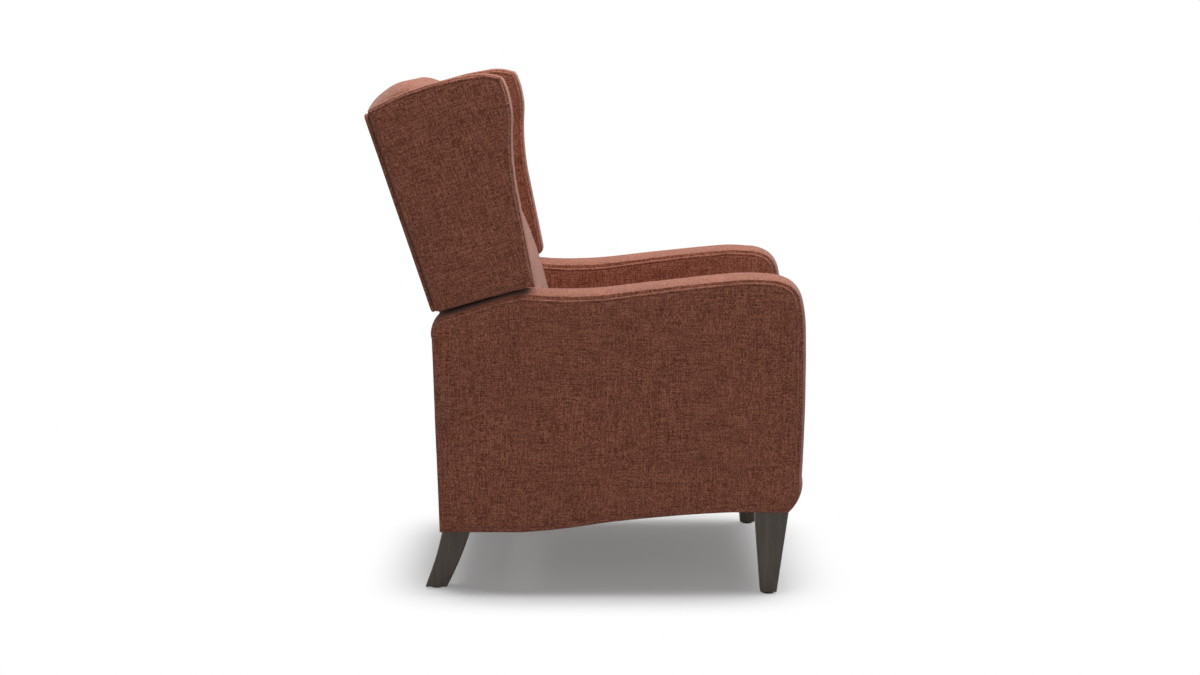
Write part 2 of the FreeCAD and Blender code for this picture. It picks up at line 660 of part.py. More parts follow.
def zigzag(x, z):
    """One sinuous spring: half turns joined by straight runs, front to back, as one tube."""
    loop = d.spring_loop
    count = int(d.spring_loops)
    y_front, y_rear = spring_span()
    radius = (y_rear - y_front) / count / 2
    edges = []
    start = Vector(x, y_front, z)
    point = Vector(x + loop, y_front, z)
    edges.append(Part.LineSegment(start, point).toShape())
    direction = 1
    for index in range(count):
        bulge = Vector(point.x + direction * radius, point.y + radius, z)
        after = Vector(point.x, point.y + 2 * radius, z)
        edges.append(Part.Arc(point, bulge, after).toShape())
        direction = -direction
        point = Vector(x + direction * loop, after.y, z)
        edges.append(Part.LineSegment(after, point).toShape())
    path = Part.Wire(edges)
    runs = [path.Edges[index] for index in range(0, len(edges), 2)]
    gaps = [first.distToShape(second)[0] for first, second in zip(runs, runs[1:])]
    print(f"spring at x {x:.0f}: least gap to itself {min(gaps) - d.spring_wire:.1f} mm")
    circle = Part.Circle(start, Vector(1, 0, 0), d.spring_wire / 2).toShape()
    return path.makePipeShell([Part.Wire([circle])], True, False)


def make_springs():
    """Sinuous springs over the seat frame, held by a clip at each end."""
    z = d.rail_seat_z + d.seat_rail_tall + d.spring_wire / 2
    count = int(d.spring_count)
    springs = []
    clips = []
    for index in range(count):
        x = (index - (count - 1) / 2) * d.spring_spacing
        piece = doc.addObject("Part::Feature", f"seat_spring_{index}")
        piece.Shape = zigzag(x, z)
        springs.append(piece)
        for end, y in zip(("front", "rear"), spring_span()):
            left = x + d.spring_loop / 2 - d.clip_wide / 2
            corner = (left, y - d.clip_long / 2, z - d.spring_wire / 2)
            lengths = ("clip_wide", "clip_long", "spring_wire + clip_thick")
            shell = block(f"clip_{index}_{end}", lengths, corner)
            groove = rod(f"clip_groove_{index}_{end}", "spring_wire + 2 * pin_play", "clip_wide",
                         (left, y, z), Vector(1, 0, 0))
            slot_corner = (left, y - d.spring_wire / 2 - d.pin_play, z - d.spring_wire / 2)
            lengths = ("clip_wide", "spring_wire + 2 * pin_play", "spring_wire / 2")
            slot = block(f"clip_slot_{index}_{end}", lengths, slot_corner)
            clips.append(cut(f"spring_clip_{index}_{end}", shell, [groove, slot]))
    keep(group("seat_springs", springs))
    keep(group("spring_clips", clips))


def make_cross_tube():
    """A tube from seat plate to seat plate that keeps both sides in step."""
    reach = f"2 * {seat_plate_x}"
    start = (-seat_plate_x, -d.cross_tube_at, d.cross_tube_z)
    along = Vector(1, 0, 0)
    tube = rod("cross_tube_blank", "cross_tube_dia", reach, start, along)
    bore = rod("cross_tube_bore", "cross_tube_dia - 2 * cross_tube_wall", reach, start, along)
    keep(cut("cross_tube", tube, [bore]))


def make_seat_cushion():
    front = -d.seat_front
    rear = d.seat_rear
    low = d.rail_seat_z + d.seat_rail_tall + d.spring_wire + d.clip_thick + d.soft_gap
    front_round = d.seat_front_round
    rear_round = d.seat_rear_round
    border = d.seat_border
    top = d.seat_top
    middle = (front + rear) / 2
    outline = [
        [(front - 5, (low + border) / 2, -1, 0), (front, border - 14, -1, 0.2)],
        [(front + 6, border - 2, -0.7, 0.7), (front + 22, border + 3, 0, 1)],
        [(middle, top, 0, 1.6), (rear - 22, border + 1, 0, 1)],
        [(rear - 6, border - 4, 0.7, 0.7), (rear, border - 18, 1, 0)],
        [(rear, low + 0.8 * rear_round, 1, 0)],
        [(rear - 0.36 * rear_round, low + 0.22 * rear_round, 0.5, 0), (rear - rear_round, low, 0.5, 0)],
        [(front + front_round, low, -0.5, 0)],
        [(front + 0.36 * front_round, low + 0.22 * front_round, -0.5, 0),
         (front, low + 0.8 * front_round, -1, 0)],
    ]
    half = inner_face - d.seat_side_gap
    keep(crowned("seat_cushion", outline, pillow(half, d.seat_crown, d.seat_side_roll)))


def make_footrest():
    at = footrest_points()
    back = d.board_back
    thick = d.board_thick
    half = inner_face - d.board_side_gap
    lengths = (f"2 * {half}", "board_thick", "board_high - board_low")
    board = block("footrest_board_blank", lengths, (-half, -back - thick, d.board_low))
    front = -d.pad_front
    rear = -back - 1
    outline = [
        [(front - 3, (d.pad_low + d.pad_high) / 2, -1, 0), (front + 4, d.pad_high - 4, -0.8, 0.4)],
        [(front + 8, d.pad_high - 1, -0.4, 0.8), (front + 14, d.pad_high, 0, 0.5)],
        [(rear, d.pad_high, 0, 0.3)],
        [(rear, d.pad_low, 0, -0.3)],
        [(front + 14, d.pad_low, 0, -0.5)],
        [(front + 8, d.pad_low + 1, -0.4, -0.8), (front + 4, d.pad_low + 4, -0.8, -0.4)],
    ]
    stations = pillow(inner_face - d.pad_side_gap, d.pad_crown, d.pad_side_roll)
    form = crowned("footrest_pad_form", outline, stations)
    keep(cut("footrest_pad", form, [board]))
    upper = at["upper"]
    lower = at["lower"]
    high = upper[1] + 12
    low = d.foot_flange_low
    shape = [(-back, low), (-back, high), (upper[0] + 11, high), (upper[0] + 11, upper[1] - 8),
             (lower[0] + 12, lower[1] - 4), (lower[0] + 8, lower[1] - 13), (-back + 10, low)]
    pins = []
    screws = []
    brackets = []
    for name, side in SIDES:
        holes = [(upper, "pin_hole"), (lower, "pin_hole")]
        web = side_plate(f"{name}_foot_web", side, foot_plate_x, shape, holes)
        corner = (side_x(side, foot_plate_x + d.plate_thick, d.foot_flange_wide), -back, low)
        lengths = ("foot_flange_wide", "plate_thick", f"{high - low}")
        flange = block(f"{name}_foot_flange", lengths, corner)
        bores = []
        middle = foot_plate_x + d.plate_thick + d.foot_flange_wide / 2
        for index, z in enumerate((low + 15, high - 15)):
            start = (side * middle, -back + d.plate_thick, z)
            bores.append(rod(f"{name}_foot_bore_{index}", "screw_hole", "plate_thick", start, Vector(0, -1, 0)))
            screws.append(screw(f"{name}_foot_screw_{index}", start, Vector(0, 1, 0)))
        blank = fuse(f"{name}_foot_blank", [web, flange])
        brackets.append(cut(f"{name}_footrest_bracket", blank, bores))
        pins.append(pin(f"{name}_upper_foot_pin", side, main_front_x, foot_plate_x, upper))
        pins.append(pin(f"{name}_lower_foot_pin", side, stay_front_x, foot_plate_x, lower))
    keep(cut("footrest_board", board, screws))
    keep(group("footrest_brackets", brackets))
    keep(group("footrest_pins", pins))
    keep(group("footrest_screws", screws))


def in_back(x, w, u):
    """A place in the back's own frame from its forward and upward distances."""
    return (x, -w, u)


def make_back_frame(screws):
    deep = "post_deep"
    rear = d.post_back
    tall = "top_rail_low - post_low"
    for name, side in SIDES:
        x = side_x(side, post_inner, d.post_wide)
        corner = in_back(x, rear + d.post_deep, d.post_low)
        post = block(f"{name}_back_post_blank", ("post_wide", deep, tall), corner, BACK)
        held = [item for item in screws if item.Label.startswith(name)]
        keep(cut(f"{name}_back_post", post, held))
    across = f"2 * {rail_half}"
    corner = in_back(-rail_half, rear + d.post_deep, d.top_rail_low)
    keep(block("back_top_rail", (across, deep, "top_rail_tall"), corner, BACK))
    corner = in_back(-rail_half, rear + d.post_deep + d.mid_rail_deep, d.mid_rail_low)
    keep(block("back_mid_rail", (across, "mid_rail_deep", "mid_rail_tall"), corner, BACK))
    corner = in_back(-post_inner, rear + d.low_rail_deep, d.post_low)
    keep(block("back_low_rail", (f"2 * {post_inner}", "low_rail_deep", "low_rail_tall"), corner, BACK))


def make_outside_back():
    wide = d.half_width - d.outside_inset
    narrow = inner_face - d.outside_arm_gap
    low = d.outside_low
    step = d.outside_step
    top = d.outside_top
    outline = [(-narrow, low), (narrow, low), (narrow, step), (wide - 8, step), (wide, step + 8),
               (wide, top - 14), (wide - 14, top), (-wide + 14, top), (-wide, top - 14),
               (-wide, step + 8), (-wide + 8, step), (-narrow, step)]
    start = Placement(Vector(0, d.outside_rear, 0), FACING)
    keep(plate("outside_back", outline, [], "outside_thick", BACK.multiply(start)))


def wing_outline():
    """The wing from the side in the back's frame, as (-forward, up) keys."""
    top = d.wing_top
    front = d.wing_front
    foot = d.wing_foot
    rear = d.post_back
    keys = [
        [(rear, top - 19, 0, 0)],
        [(rear + 3, top - 12, 0, 0.4), (rear + 11, top - 8.5, 0, 0.6)],
        [(110, top, 0, 0.7), (front - 65, top - 8.5, 0, 0.7)],
        [(front - 36, top - 15.5, 0.3, 0.7), (front - 9, top - 30, 0.5, 0.7)],
        [(front - 3.5, top - 35, 0.8, 0.5), (front - 1, top - 42, 1, 0.2)],
        [(front, top - 63, 1, 0.1), (front - 2, top - 87, 1, 0)],
        [(front - 7, top - 113, 1, 0), (front - 16, top - 139, 1, 0)],
        [(foot + 33, 240, 1, 0), (foot + 20, 165, 1, 0)],
        [(foot + 10, 90, 1, 0), (foot + 1, 20, 1, 0)],
        [(foot - 3, -6, 0.7, -0.3), (foot - 17, -11.5, 0.2, -0.6)],
        [(110, -5, 0, -0.6), (rear + 10, -1, 0, -0.5)],
        [(rear, 3, 0, 0)],
    ]
    return [[(-w, u, -nw, nu) for w, u, nw, nu in step] for step in keys]


def wing_plate_outline():
    front = d.wing_front
    foot = d.wing_foot
    top = d.wing_top
    rear = d.post_back
    keys = [(rear + 6, 18), (foot - 22, 18), (foot - 8, 150), (foot + 14, 270), (front - 30, top - 100),
            (front - 30, top - 70), (front - 60, top - 32), (rear + 6, top - 32)]
    return [(-w, u) for w, u in keys]


def make_wings():
    outline = wing_outline()
    shares = puff(d.half_width, wing_inner, d.wing_crown)
    for name, side in SIDES:
        x = side_x(side, rail_half, d.wing_plate_thick)
        start = Placement(Vector(x, 0, 0), SIDEWAYS)
        board = keep(plate(f"{name}_wing_board", wing_plate_outline(), [], "wing_plate_thick",
                           BACK.multiply(start)))
        form = crowned(f"{name}_wing_form", outline, mirrored(shares, side), BACK)
        rails = [doc.getObject("back_top_rail"), doc.getObject("back_mid_rail")]
        keep(cut(f"{name}_wing_cover", form, [board] + rails))


def make_back_cushion():
    rear = d.cushion_rear
    low = d.cushion_low
    top = d.roll_top
    head = d.roll_front
    lumbar = d.lumbar
    seam = d.outside_top + 1
    keys = [
        [(rear, seam, 0, 0)],
        [(-d.outside_rear - 2, seam, 0, 0)],
        [(-d.outside_rear - 3, top - 33, -0.3, 0.2)],
        [(8, top - 21, -0.3, 0.7), (32, top - 11, 0, 1)],
        [(58, top - 3, 0, 1), (85, top, 0.1, 1)],
        [(119, top - 20, 0.5, 0.8), (head - 20, top - 56, 0.9, 0.4)],
        [(head - 5, top - 84, 1, 0), (head, top - 116, 1, 0)],
        [(head - 1, 295, 1, 0), (head + 7, 235, 1, 0)],
        [(head + 22, 185, 1, 0), (lumbar - 7, 130, 1, 0)],
        [(lumbar, 45, 1, 0), (lumbar - 3, -60, 1, 0)],
        [(lumbar - 8, low + 60, 1, 0), (lumbar - 20, low + 10, 1, 0)],
        [(lumbar - 30, low, 0.7, 0), (lumbar - 46, low - 1, 0.5, 0)],
        [(rear, low + 5, 0, 0)],
    ]
    outline = [[(-w, u, -nw, nu) for w, u, nw, nu in step] for step in keys]
    half = wing_inner - d.cushion_wing_gap
    stations = pillow(half, d.cushion_crown, d.cushion_side_roll)
    form = crowned("back_cushion_form", outline, stations, BACK)
    narrow = inner_face - d.cushion_arm_gap
    tools = [doc.getObject("back_mid_rail")]
    for name, side in SIDES:
        wide = half - narrow + 10
        corner = (side_x(side, narrow, wide), -lumbar - 20, low - 20)
        lengths = (f"{wide}", f"{lumbar + 20}", f"{d.cushion_step - low + 20}")
        tools.append(block(f"{name}_cushion_notch", lengths, corner, BACK))
    keep(cut("back_cushion", form, tools))


def make_back_brackets():
    """Steel plates from the seat plates' rear pivots up the outer faces of the posts."""
    turn = BACK.inverse()
    pivot = turn.multVec(Vector(0, d.back_pivot_y, d.back_pivot_z))
    w = -pivot.y
    u = pivot.z
    half = d.back_plate_wide / 2 - 2
    rear = d.post_back + 2
    front = rear + d.post_deep - 6
    keys = [(w - half, u - 6), (w - 6, u - half), (w + 6, u - half), (w + half, u - 2),
            (front, d.post_low + 4), (front, d.bracket_top), (rear, d.bracket_top),
            (rear, d.post_low), (w - half, u + 14)]
    outline = [(-a, b) for a, b in keys]
    screw_places = [(-(rear + front) / 2, d.bracket_top - 12), (-(rear + front) / 2, d.post_low + 22)]
    holes = [((pivot.y, pivot.z), "pin_hole")] + [(place, "screw_hole") for place in screw_places]
    screws = []
    brackets = []
    for name, side in SIDES:
        x = side_x(side, back_plate_x, d.plate_thick)
        start = Placement(Vector(x, 0, 0), SIDEWAYS)
        brackets.append(plate(f"{name}_back_bracket", outline, holes, "plate_thick", BACK.multiply(start)))
        for index, (y, z) in enumerate(screw_places):
            head = (side * (back_plate_x + d.plate_thick), y, z)
            screws.append(screw(f"{name}_back_screw_{index}", head, Vector(side, 0, 0), BACK))
    keep(group("back_brackets", brackets))
    keep(group("back_bracket_screws", screws))
    return screws


def check_and_write():
    doc.recompute()
    for item in doc.Objects:
        if "Invalid" in item.State or "Error" in item.State:
            raise RuntimeError(f"{item.Label} failed: {item.State}")
    os.makedirs("parts", exist_ok=True)
    for piece in nodes:
        shape = piece.Shape
        if shape.isNull() or not shape.isValid():
            raise RuntimeError(f"{piece.Label} has no valid shape")
        shape.exportStep(f"parts/{piece.Label}.step")
        box = shape.BoundBox
        print(f"{piece.Label:28s} solids {len(shape.Solids):2d} volume {shape.Volume / 1000:9.1f} cm3 "
              f"y {box.YMin:7.1f} {box.YMax:7.1f} z {box.ZMin:7.1f} {box.ZMax:7.1f}")
    print(len(nodes), "nodes")


make_arms(make_base_plates())
make_legs()
make_rails()
make_swing_links()
make_footrest_links()
make_seat_frame(make_seat_plates())
make_springs()
make_cross_tube()
make_seat_cushion()
make_footrest()
make_back_frame(make_back_brackets())
make_outside_back()
make_wings()
make_back_cushion()
check_and_write()
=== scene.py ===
import json
import math

import bmesh
import bpy
from mathutils import Matrix, Vector, kdtree, noise
from mathutils.bvhtree import BVHTree


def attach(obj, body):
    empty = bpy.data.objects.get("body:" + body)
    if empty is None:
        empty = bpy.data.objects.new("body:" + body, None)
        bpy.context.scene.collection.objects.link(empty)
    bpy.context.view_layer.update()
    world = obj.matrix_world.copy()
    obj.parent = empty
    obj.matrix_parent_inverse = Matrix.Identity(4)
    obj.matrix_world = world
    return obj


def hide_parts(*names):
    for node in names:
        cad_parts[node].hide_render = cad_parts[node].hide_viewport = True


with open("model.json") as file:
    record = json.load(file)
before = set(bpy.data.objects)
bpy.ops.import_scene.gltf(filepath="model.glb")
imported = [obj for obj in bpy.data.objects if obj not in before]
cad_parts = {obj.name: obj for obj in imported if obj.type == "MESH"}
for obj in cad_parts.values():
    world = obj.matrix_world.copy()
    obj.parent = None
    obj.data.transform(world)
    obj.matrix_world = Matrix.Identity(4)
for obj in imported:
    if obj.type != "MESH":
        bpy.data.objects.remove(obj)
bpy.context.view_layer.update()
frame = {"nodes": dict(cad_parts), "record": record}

# High leg recliner: looks, around the fixed CAD frame.
# Sizes and outlines are in millimetres, as in the CAD source. Meshes are in metres.

MM = 0.001
SIDES = (("right", -1), ("left", 1))

HALF_WIDTH = 380
ARM_INNER = 246
ARM_FRONT = -458
ARM_REAR = 304
ARM_LOW = 641
ARM_HIGH = 673
FRONT_BOTTOM = 181.2
REAR_BOTTOM = 139.2
ARM_CROWN = 13
WING_INNER = 300
WING_CROWN = 5

# The leaning back's own frame: its lean, and its origin on the chair
BACK_ANGLE = math.radians(18.4)
BACK_AT = Vector((0, 311, 598))
BACK_TURN = Matrix.Rotation(-BACK_ANGLE, 3, "X")


# Places

def on_chair(x, a, b):
    """A place from millimetres across, backward and up."""
    return Vector((x, a, b)) * MM


def on_back(x, a, b):
    """A place in the leaning back's own frame."""
    return (BACK_TURN @ Vector((x, a, b)) + BACK_AT) * MM


def on_back_face(depth, a, b):
    """A place on the back's rear panel: depth is backward, a across and b up the back."""
    return on_back(a, depth, b)


def on_tail_face(depth, a, b):
    """A place on the tail panel: depth is backward, a across and b up."""
    return on_chair(a, depth, b)


# Outlines: stretches of (mid, end) arcs or (end) lines, each key with place a, place b and
# the two weights of the crown

def arc(start, middle, end, count):
    """Points on the arc from start through middle to end, without its start."""
    (ax, ay), (bx, by), (cx, cy) = start, middle, end
    turn = 2 * (ax * (by - cy) + bx * (cy - ay) + cx * (ay - by))
    shares = [(k + 1) / count for k in range(count)]
    if abs(turn) < 1e-3 * ((cx - ax) ** 2 + (cy - ay) ** 2):
        return [(ax + (cx - ax) * t, ay + (cy - ay) * t) for t in shares]
    a2 = ax * ax + ay * ay
    b2 = bx * bx + by * by
    c2 = cx * cx + cy * cy
    ux = (a2 * (by - cy) + b2 * (cy - ay) + c2 * (ay - by)) / turn
    uy = (a2 * (cx - bx) + b2 * (ax - cx) + c2 * (bx - ax)) / turn
    radius = math.hypot(ax - ux, ay - uy)
    first = math.atan2(ay - uy, ax - ux)
    passed = (math.atan2(by - uy, bx - ux) - first) % math.tau
    sweep = (math.atan2(cy - uy, cx - ux) - first) % math.tau
    if passed > sweep:
        sweep -= math.tau
    angles = [first + sweep * t for t in shares]
    return [(ux + radius * math.cos(angle), uy + radius * math.sin(angle)) for angle in angles]


def stretch_counts(keys, step):
    """How many points each stretch of an outline gets."""
    ends = [stretch[-1][:2] for stretch in keys]
    starts = [ends[-1]] + ends
    return [max(2, round(math.dist(start, end) / step)) for start, end in zip(starts, ends)]


def trace(keys, inset, step):
    """The outline's points, drawn in by inset times the weights of each key."""
    def place(key):
        return (key[0] - key[2] * inset, key[1] - key[3] * inset)

    points = []
    start = place(keys[-1][-1])
    for stretch, count in zip(keys, stretch_counts(keys, step)):
        end = place(stretch[-1])
        middle = place(stretch[0]) if len(stretch) == 2 else start
        points += arc(start, middle, end, count)
        start = end
    return points


def centre_of(points):
    count = len(points)
    return (sum(p[0] for p in points) / count, sum(p[1] for p in points) / count)


def towards(points, centre, share):
    """Points moved by a share of the way to the centre."""
    return [(a + (centre[0] - a) * share, b + (centre[1] - b) * share) for a, b in points]


# The least share of a move that goes across the outline, so that no corner runs away
LEAST_ACROSS = 0.45


def drawn_in(points, distance, centre):
    """Points moved towards the centre, so that the outline shrinks by about distance."""
    moved = []
    count = len(points)
    for index, (a, b) in enumerate(points):
        before = Vector(points[index - 2])
        after = Vector(points[(index + 2) % count])
        along = (after - before).normalized()
        normal = Vector((-along.y, along.x))
        inward = Vector((centre[0] - a, centre[1] - b)).normalized()
        share = max(LEAST_ACROSS, abs(inward.dot(normal)))
        moved.append((a + inward.x * distance / share, b + inward.y * distance / share))
    return moved


# Meshes

def added(name, data):
    """A new object in the scene."""
    thing = bpy.data.objects.new(name, data)
    bpy.context.scene.collection.objects.link(thing)
    return thing


def mesh_of(name, shape):
    """A mesh from a bmesh, which is then freed."""
    mesh = bpy.data.meshes.new(name)
    shape.to_mesh(mesh)
    shape.free()
    return mesh


def smooth(mesh, sharp_from=None):
    """Smooth shading, with edges sharp from an angle in degrees on."""
    for face in mesh.polygons:
        face.use_smooth = True
    if sharp_from is not None:
        mesh.set_sharp_from_angle(angle=math.radians(sharp_from))


def finished(name, points, faces, sharp_from=None):
    """An object from points and faces, with outward faces and smooth shading."""
    mesh = bpy.data.meshes.new(name)
    mesh.from_pydata(points, [], faces)
    shape = bmesh.new()
    shape.from_mesh(mesh)
    bmesh.ops.remove_doubles(shape, verts=shape.verts, dist=1e-6)
    bmesh.ops.recalc_face_normals(shape, faces=shape.faces)
    shape.to_mesh(mesh)
    shape.free()
    smooth(mesh, sharp_from)
    return added(name, mesh)


def skin(name, rings, sharp_from=None):
    """A closed mesh through rings of equal length, with a point in the middle of each end."""
    count = len(rings[0])
    points = [point for ring in rings for point in ring]
    faces = []
    for row in range(len(rings) - 1):
        low = row * count
        for index in range(count):
            after = (index + 1) % count
            faces.append((low + index, low + after, low + count + after, low + count + index))
    for row in (0, len(rings) - 1):
        middle = len(points)
        points.append(sum(rings[row], Vector()) / count)
        low = row * count
        faces += [(low + index, low + (index + 1) % count, middle) for index in range(count)]
    return finished(name, points, faces, sharp_from)


def apply_modifiers(piece):
    """Puts what a piece's modifiers make into its mesh."""
    graph = bpy.context.evaluated_depsgraph_get()
    mesh = bpy.data.meshes.new_from_object(piece.evaluated_get(graph))
    old = piece.data
    piece.modifiers.clear()
    piece.data = mesh
    bpy.data.meshes.remove(old)


def undulate(piece, depth, size, seed):
    """Slow unevenness of stuffed cloth, along the normals."""
    shift = Vector((seed * 3.1, seed * 1.7, seed * 2.3))
    vertices = piece.data.vertices
    normals = [vertex.normal.copy() for vertex in vertices]
    for vertex, normal in zip(vertices, normals):
        sample = vertex.co / (size * MM) + shift
        vertex.co += normal * noise.noise(sample) * depth * MM


def surface_of(piece):
    """A search tree of a piece's faces."""
    return BVHTree.FromPolygons([vertex.co.copy() for vertex in piece.data.vertices],
                                [tuple(face.vertices) for face in piece.data.polygons])


# Upholstered forms

# Rows of a flat panel, as distance inside its seam and height. The dip is a row of stitches.
PANEL_ROWS = ((1.5, -2.4), (1.8, -1.1), (2.4, -0.2), (3.3, 0.4), (4.6, 0.7), (6.3, 0.6),
              (7.3, 0.1), (8.0, -0.3), (8.7, 0.2), (10.0, 0.75), (14, 1.1), (20, 1.5))
STITCH_ROW = 8.0
# Rows beyond them, as shares of the way to the panel's middle
PANEL_SHARES = (0.08, 0.17, 0.28, 0.4, 0.52, 0.64, 0.76, 0.88, 0.95)
# The band's groove beside each seam, as distance from the panel and inset, and how far it goes
SEAM_ROWS = ((2.6, 1.4), (2.9, -0.1), (3.2, -1.6))
SEAM_REACH = 3.6
# A form thinner than this has finer seams
FULL_SEAM_WIDTH = 30
# Rows across the band, in degrees of its half turn, and how full its crown is
BAND_TURNS = (8, 13, 20, 28, 37, 47, 58, 69, 80, 90, 100, 111, 122, 133, 143, 152, 160, 167, 172)
CROWN_POWER = 0.8


def panel_rings(seam, centre, place, face, side, puff, scale):
    """Rings from the seam of a flat panel to its middle."""
    rings = []
    for distance, height in PANEL_ROWS:
        points = drawn_in(seam, distance * scale, centre)
        rings.append([place(face + side * height * scale, a, b) for a, b in points])
    edge = drawn_in(seam, PANEL_ROWS[-1][0] * scale, centre)
    rise = PANEL_ROWS[-1][1] * scale
    for share in PANEL_SHARES:
        height = rise + puff * math.sin(share * math.pi / 2)
        points = towards(edge, centre, share)
        rings.append([place(face + side * height, a, b) for a, b in points])
    return rings


def boxed(name, keys, place, outer, inner, crown, puff=1.5, step=6.0):
    """Two flat panels joined by a crowned band, with a sunk seam at each edge."""
    side = 1 if outer > inner else -1
    wide = abs(outer - inner)
    scale = min(1, wide / FULL_SEAM_WIDTH)
    seam = trace(keys, crown, step)
    centre = centre_of(seam)
    stations = []
    for degrees in BAND_TURNS:
        turn = math.radians(degrees)
        distance = wide * (1 - math.cos(turn)) / 2
        if SEAM_REACH * scale < distance < wide - SEAM_REACH * scale:
            stations.append((distance, crown * (1 - math.sin(turn) ** CROWN_POWER)))
    groove = [(distance * scale, crown + inset * scale) for distance, inset in SEAM_ROWS]
    far_groove = [(wide - distance, inset) for distance, inset in reversed(groove)]
    rings = list(reversed(panel_rings(seam, centre, place, outer, side, puff, scale)))
    for distance, inset in groove + stations + far_groove:
        points = trace(keys, inset, step)
        rings.append([place(outer - side * distance, a, b) for a, b in points])
    rings += panel_rings(seam, centre, place, inner, -side, puff, scale)
    return skin(name, rings)


STITCH_LONG = 3.4
STITCH_GAP = 1.2
STITCH_RADIUS = 0.38
STITCH_SHARES = (0.2, 0.8)
# A direction that no row of stitches runs along
ODD_WAY = Vector((0.31, 0.52, 0.79))


def stitches(name, path):
    """Sewing thread: short pointed dashes along a path of places."""
    points = []
    faces = []
    walk = 0.0
    for start, end in zip(path, path[1:]):
        along = end - start
        reach = along.length / MM
        if reach < 1e-6:
            continue
        along.normalize()
        across = along.cross(ODD_WAY).normalized()
        rise = along.cross(across)
        while walk < reach:
            first = len(points)
            at = start + along * walk * MM
            points.append(at)
            for share in STITCH_SHARES:
                middle = at + along * share * STITCH_LONG * MM
                for turn in range(4):
                    angle = turn * math.pi / 2
                    offset = across * math.cos(angle) + rise * math.sin(angle)
                    points.append(middle + offset * STITCH_RADIUS * MM)
            points.append(at + along * STITCH_LONG * MM)
            for turn in range(4):
                low = first + 1 + turn
                after = first + 1 + (turn + 1) % 4
                faces.append((first, after, low))
                faces.append((low, after, after + 4, low + 4))
                faces.append((low + 4, after + 4, first + 9))
            walk += STITCH_LONG + STITCH_GAP
        walk -= reach
    return finished(name, points, faces)


def topstitch(name, keys, place, outer, inner, crown, first, last, step):
    """The stitch row of a boxed form's outer panel, over part of its outline."""
    side = 1 if outer > inner else -1
    seam = trace(keys, crown, step)
    points = drawn_in(seam, STITCH_ROW, centre_of(seam))
    counts = stretch_counts(keys, step)
    low, high = sum(counts[:first]), sum(counts[:last])
    return stitches(name, [place(outer - side * 0.1, a, b) for a, b in points[low:high]])


# Materials

class Graph:
    """A node tree, with short ways to add nodes and to join them."""

    def __init__(self, tree):
        self.tree = tree
        tree.nodes.clear()

    def add(self, kind, sockets=None, **settings):
        """A node with its settings and the values of its input sockets."""
        node = self.tree.nodes.new("ShaderNode" + kind)
        for name, value in settings.items():
            setattr(node, name, value)
        for name, value in (sockets or {}).items():
            node.inputs[name].default_value = value
        return node

    def join(self, start, node, socket=0):
        """Joins an output, or a node's first output, to an input of a node."""
        output = start.outputs[0] if isinstance(start, bpy.types.Node) else start
        self.tree.links.new(output, node.inputs[socket])

    def maths(self, operation, *values):
        """A Math node on numbers and outputs."""
        node = self.add("Math", operation=operation)
        for index, value in enumerate(values):
            if isinstance(value, (int, float)):
                node.inputs[index].default_value = value
            else:
                self.join(value, node, index)
        return node

    def squared(self, place):
        """Each part of a vector times itself."""
        node = self.add("VectorMath", operation="MULTIPLY")
        self.join(place, node, 0)
        self.join(place, node, 1)
        return node

    def mapped(self, place, **sockets):
        """Places turned, moved and scaled."""
        node = self.add("Mapping", sockets)
        self.join(place, node, "Vector")
        return node

    def noise(self, place, **sockets):
        """The strength of a noise at each place."""
        node = self.add("TexNoise", sockets)
        self.join(place, node, "Vector")
        return node.outputs["Fac"]

    def spread(self, value, low, high):
        """A value from 0 to 1 taken from low to high."""
        node = self.add("MapRange", {"To Min": low, "To Max": high})
        self.join(value, node, "Value")
        return node

    def ramp(self, value, low, high, middle=None, ease="LINEAR"):
        """Colours along a ramp, each stop a place and a colour."""
        node = self.add("ValToRGB")
        node.color_ramp.interpolation = ease
        elements = node.color_ramp.elements
        for element, (place, colour) in zip(elements, (low, high)):
            element.position = place
            element.color = colour + (1,)
        if middle:
            elements.new(middle[0]).color = middle[1] + (1,)
        self.join(value, node)
        return node

    def relief(self, height, shader, strength, distance):
        """Bump on a shader, from a height."""
        bump = self.add("Bump", {"Strength": strength, "Distance": distance})
        self.join(height, bump, "Height")
        self.join(bump, shader, "Normal")


def new_material(name, kind="BsdfPrincipled"):
    """A material with its graph and its shader."""
    material = bpy.data.materials.new(name)
    material.use_nodes = True
    graph = Graph(material.node_tree)
    shader = graph.add(kind)
    graph.join(shader, graph.add("OutputMaterial"))
    return material, graph, shader


TWEED_DARK = (0.145, 0.0405, 0.0222)
TWEED_MID = (0.285, 0.09, 0.05)
TWEED_LIGHT = (0.48, 0.18, 0.11)
# Thread colours: its own brown made darker than the tweed as painted shade of the dip it lies in
THREAD_PAINTED_SHADE = (0.12, 0.045, 0.033)
THREAD_PAINTED_LIGHT = (0.26, 0.11, 0.08)


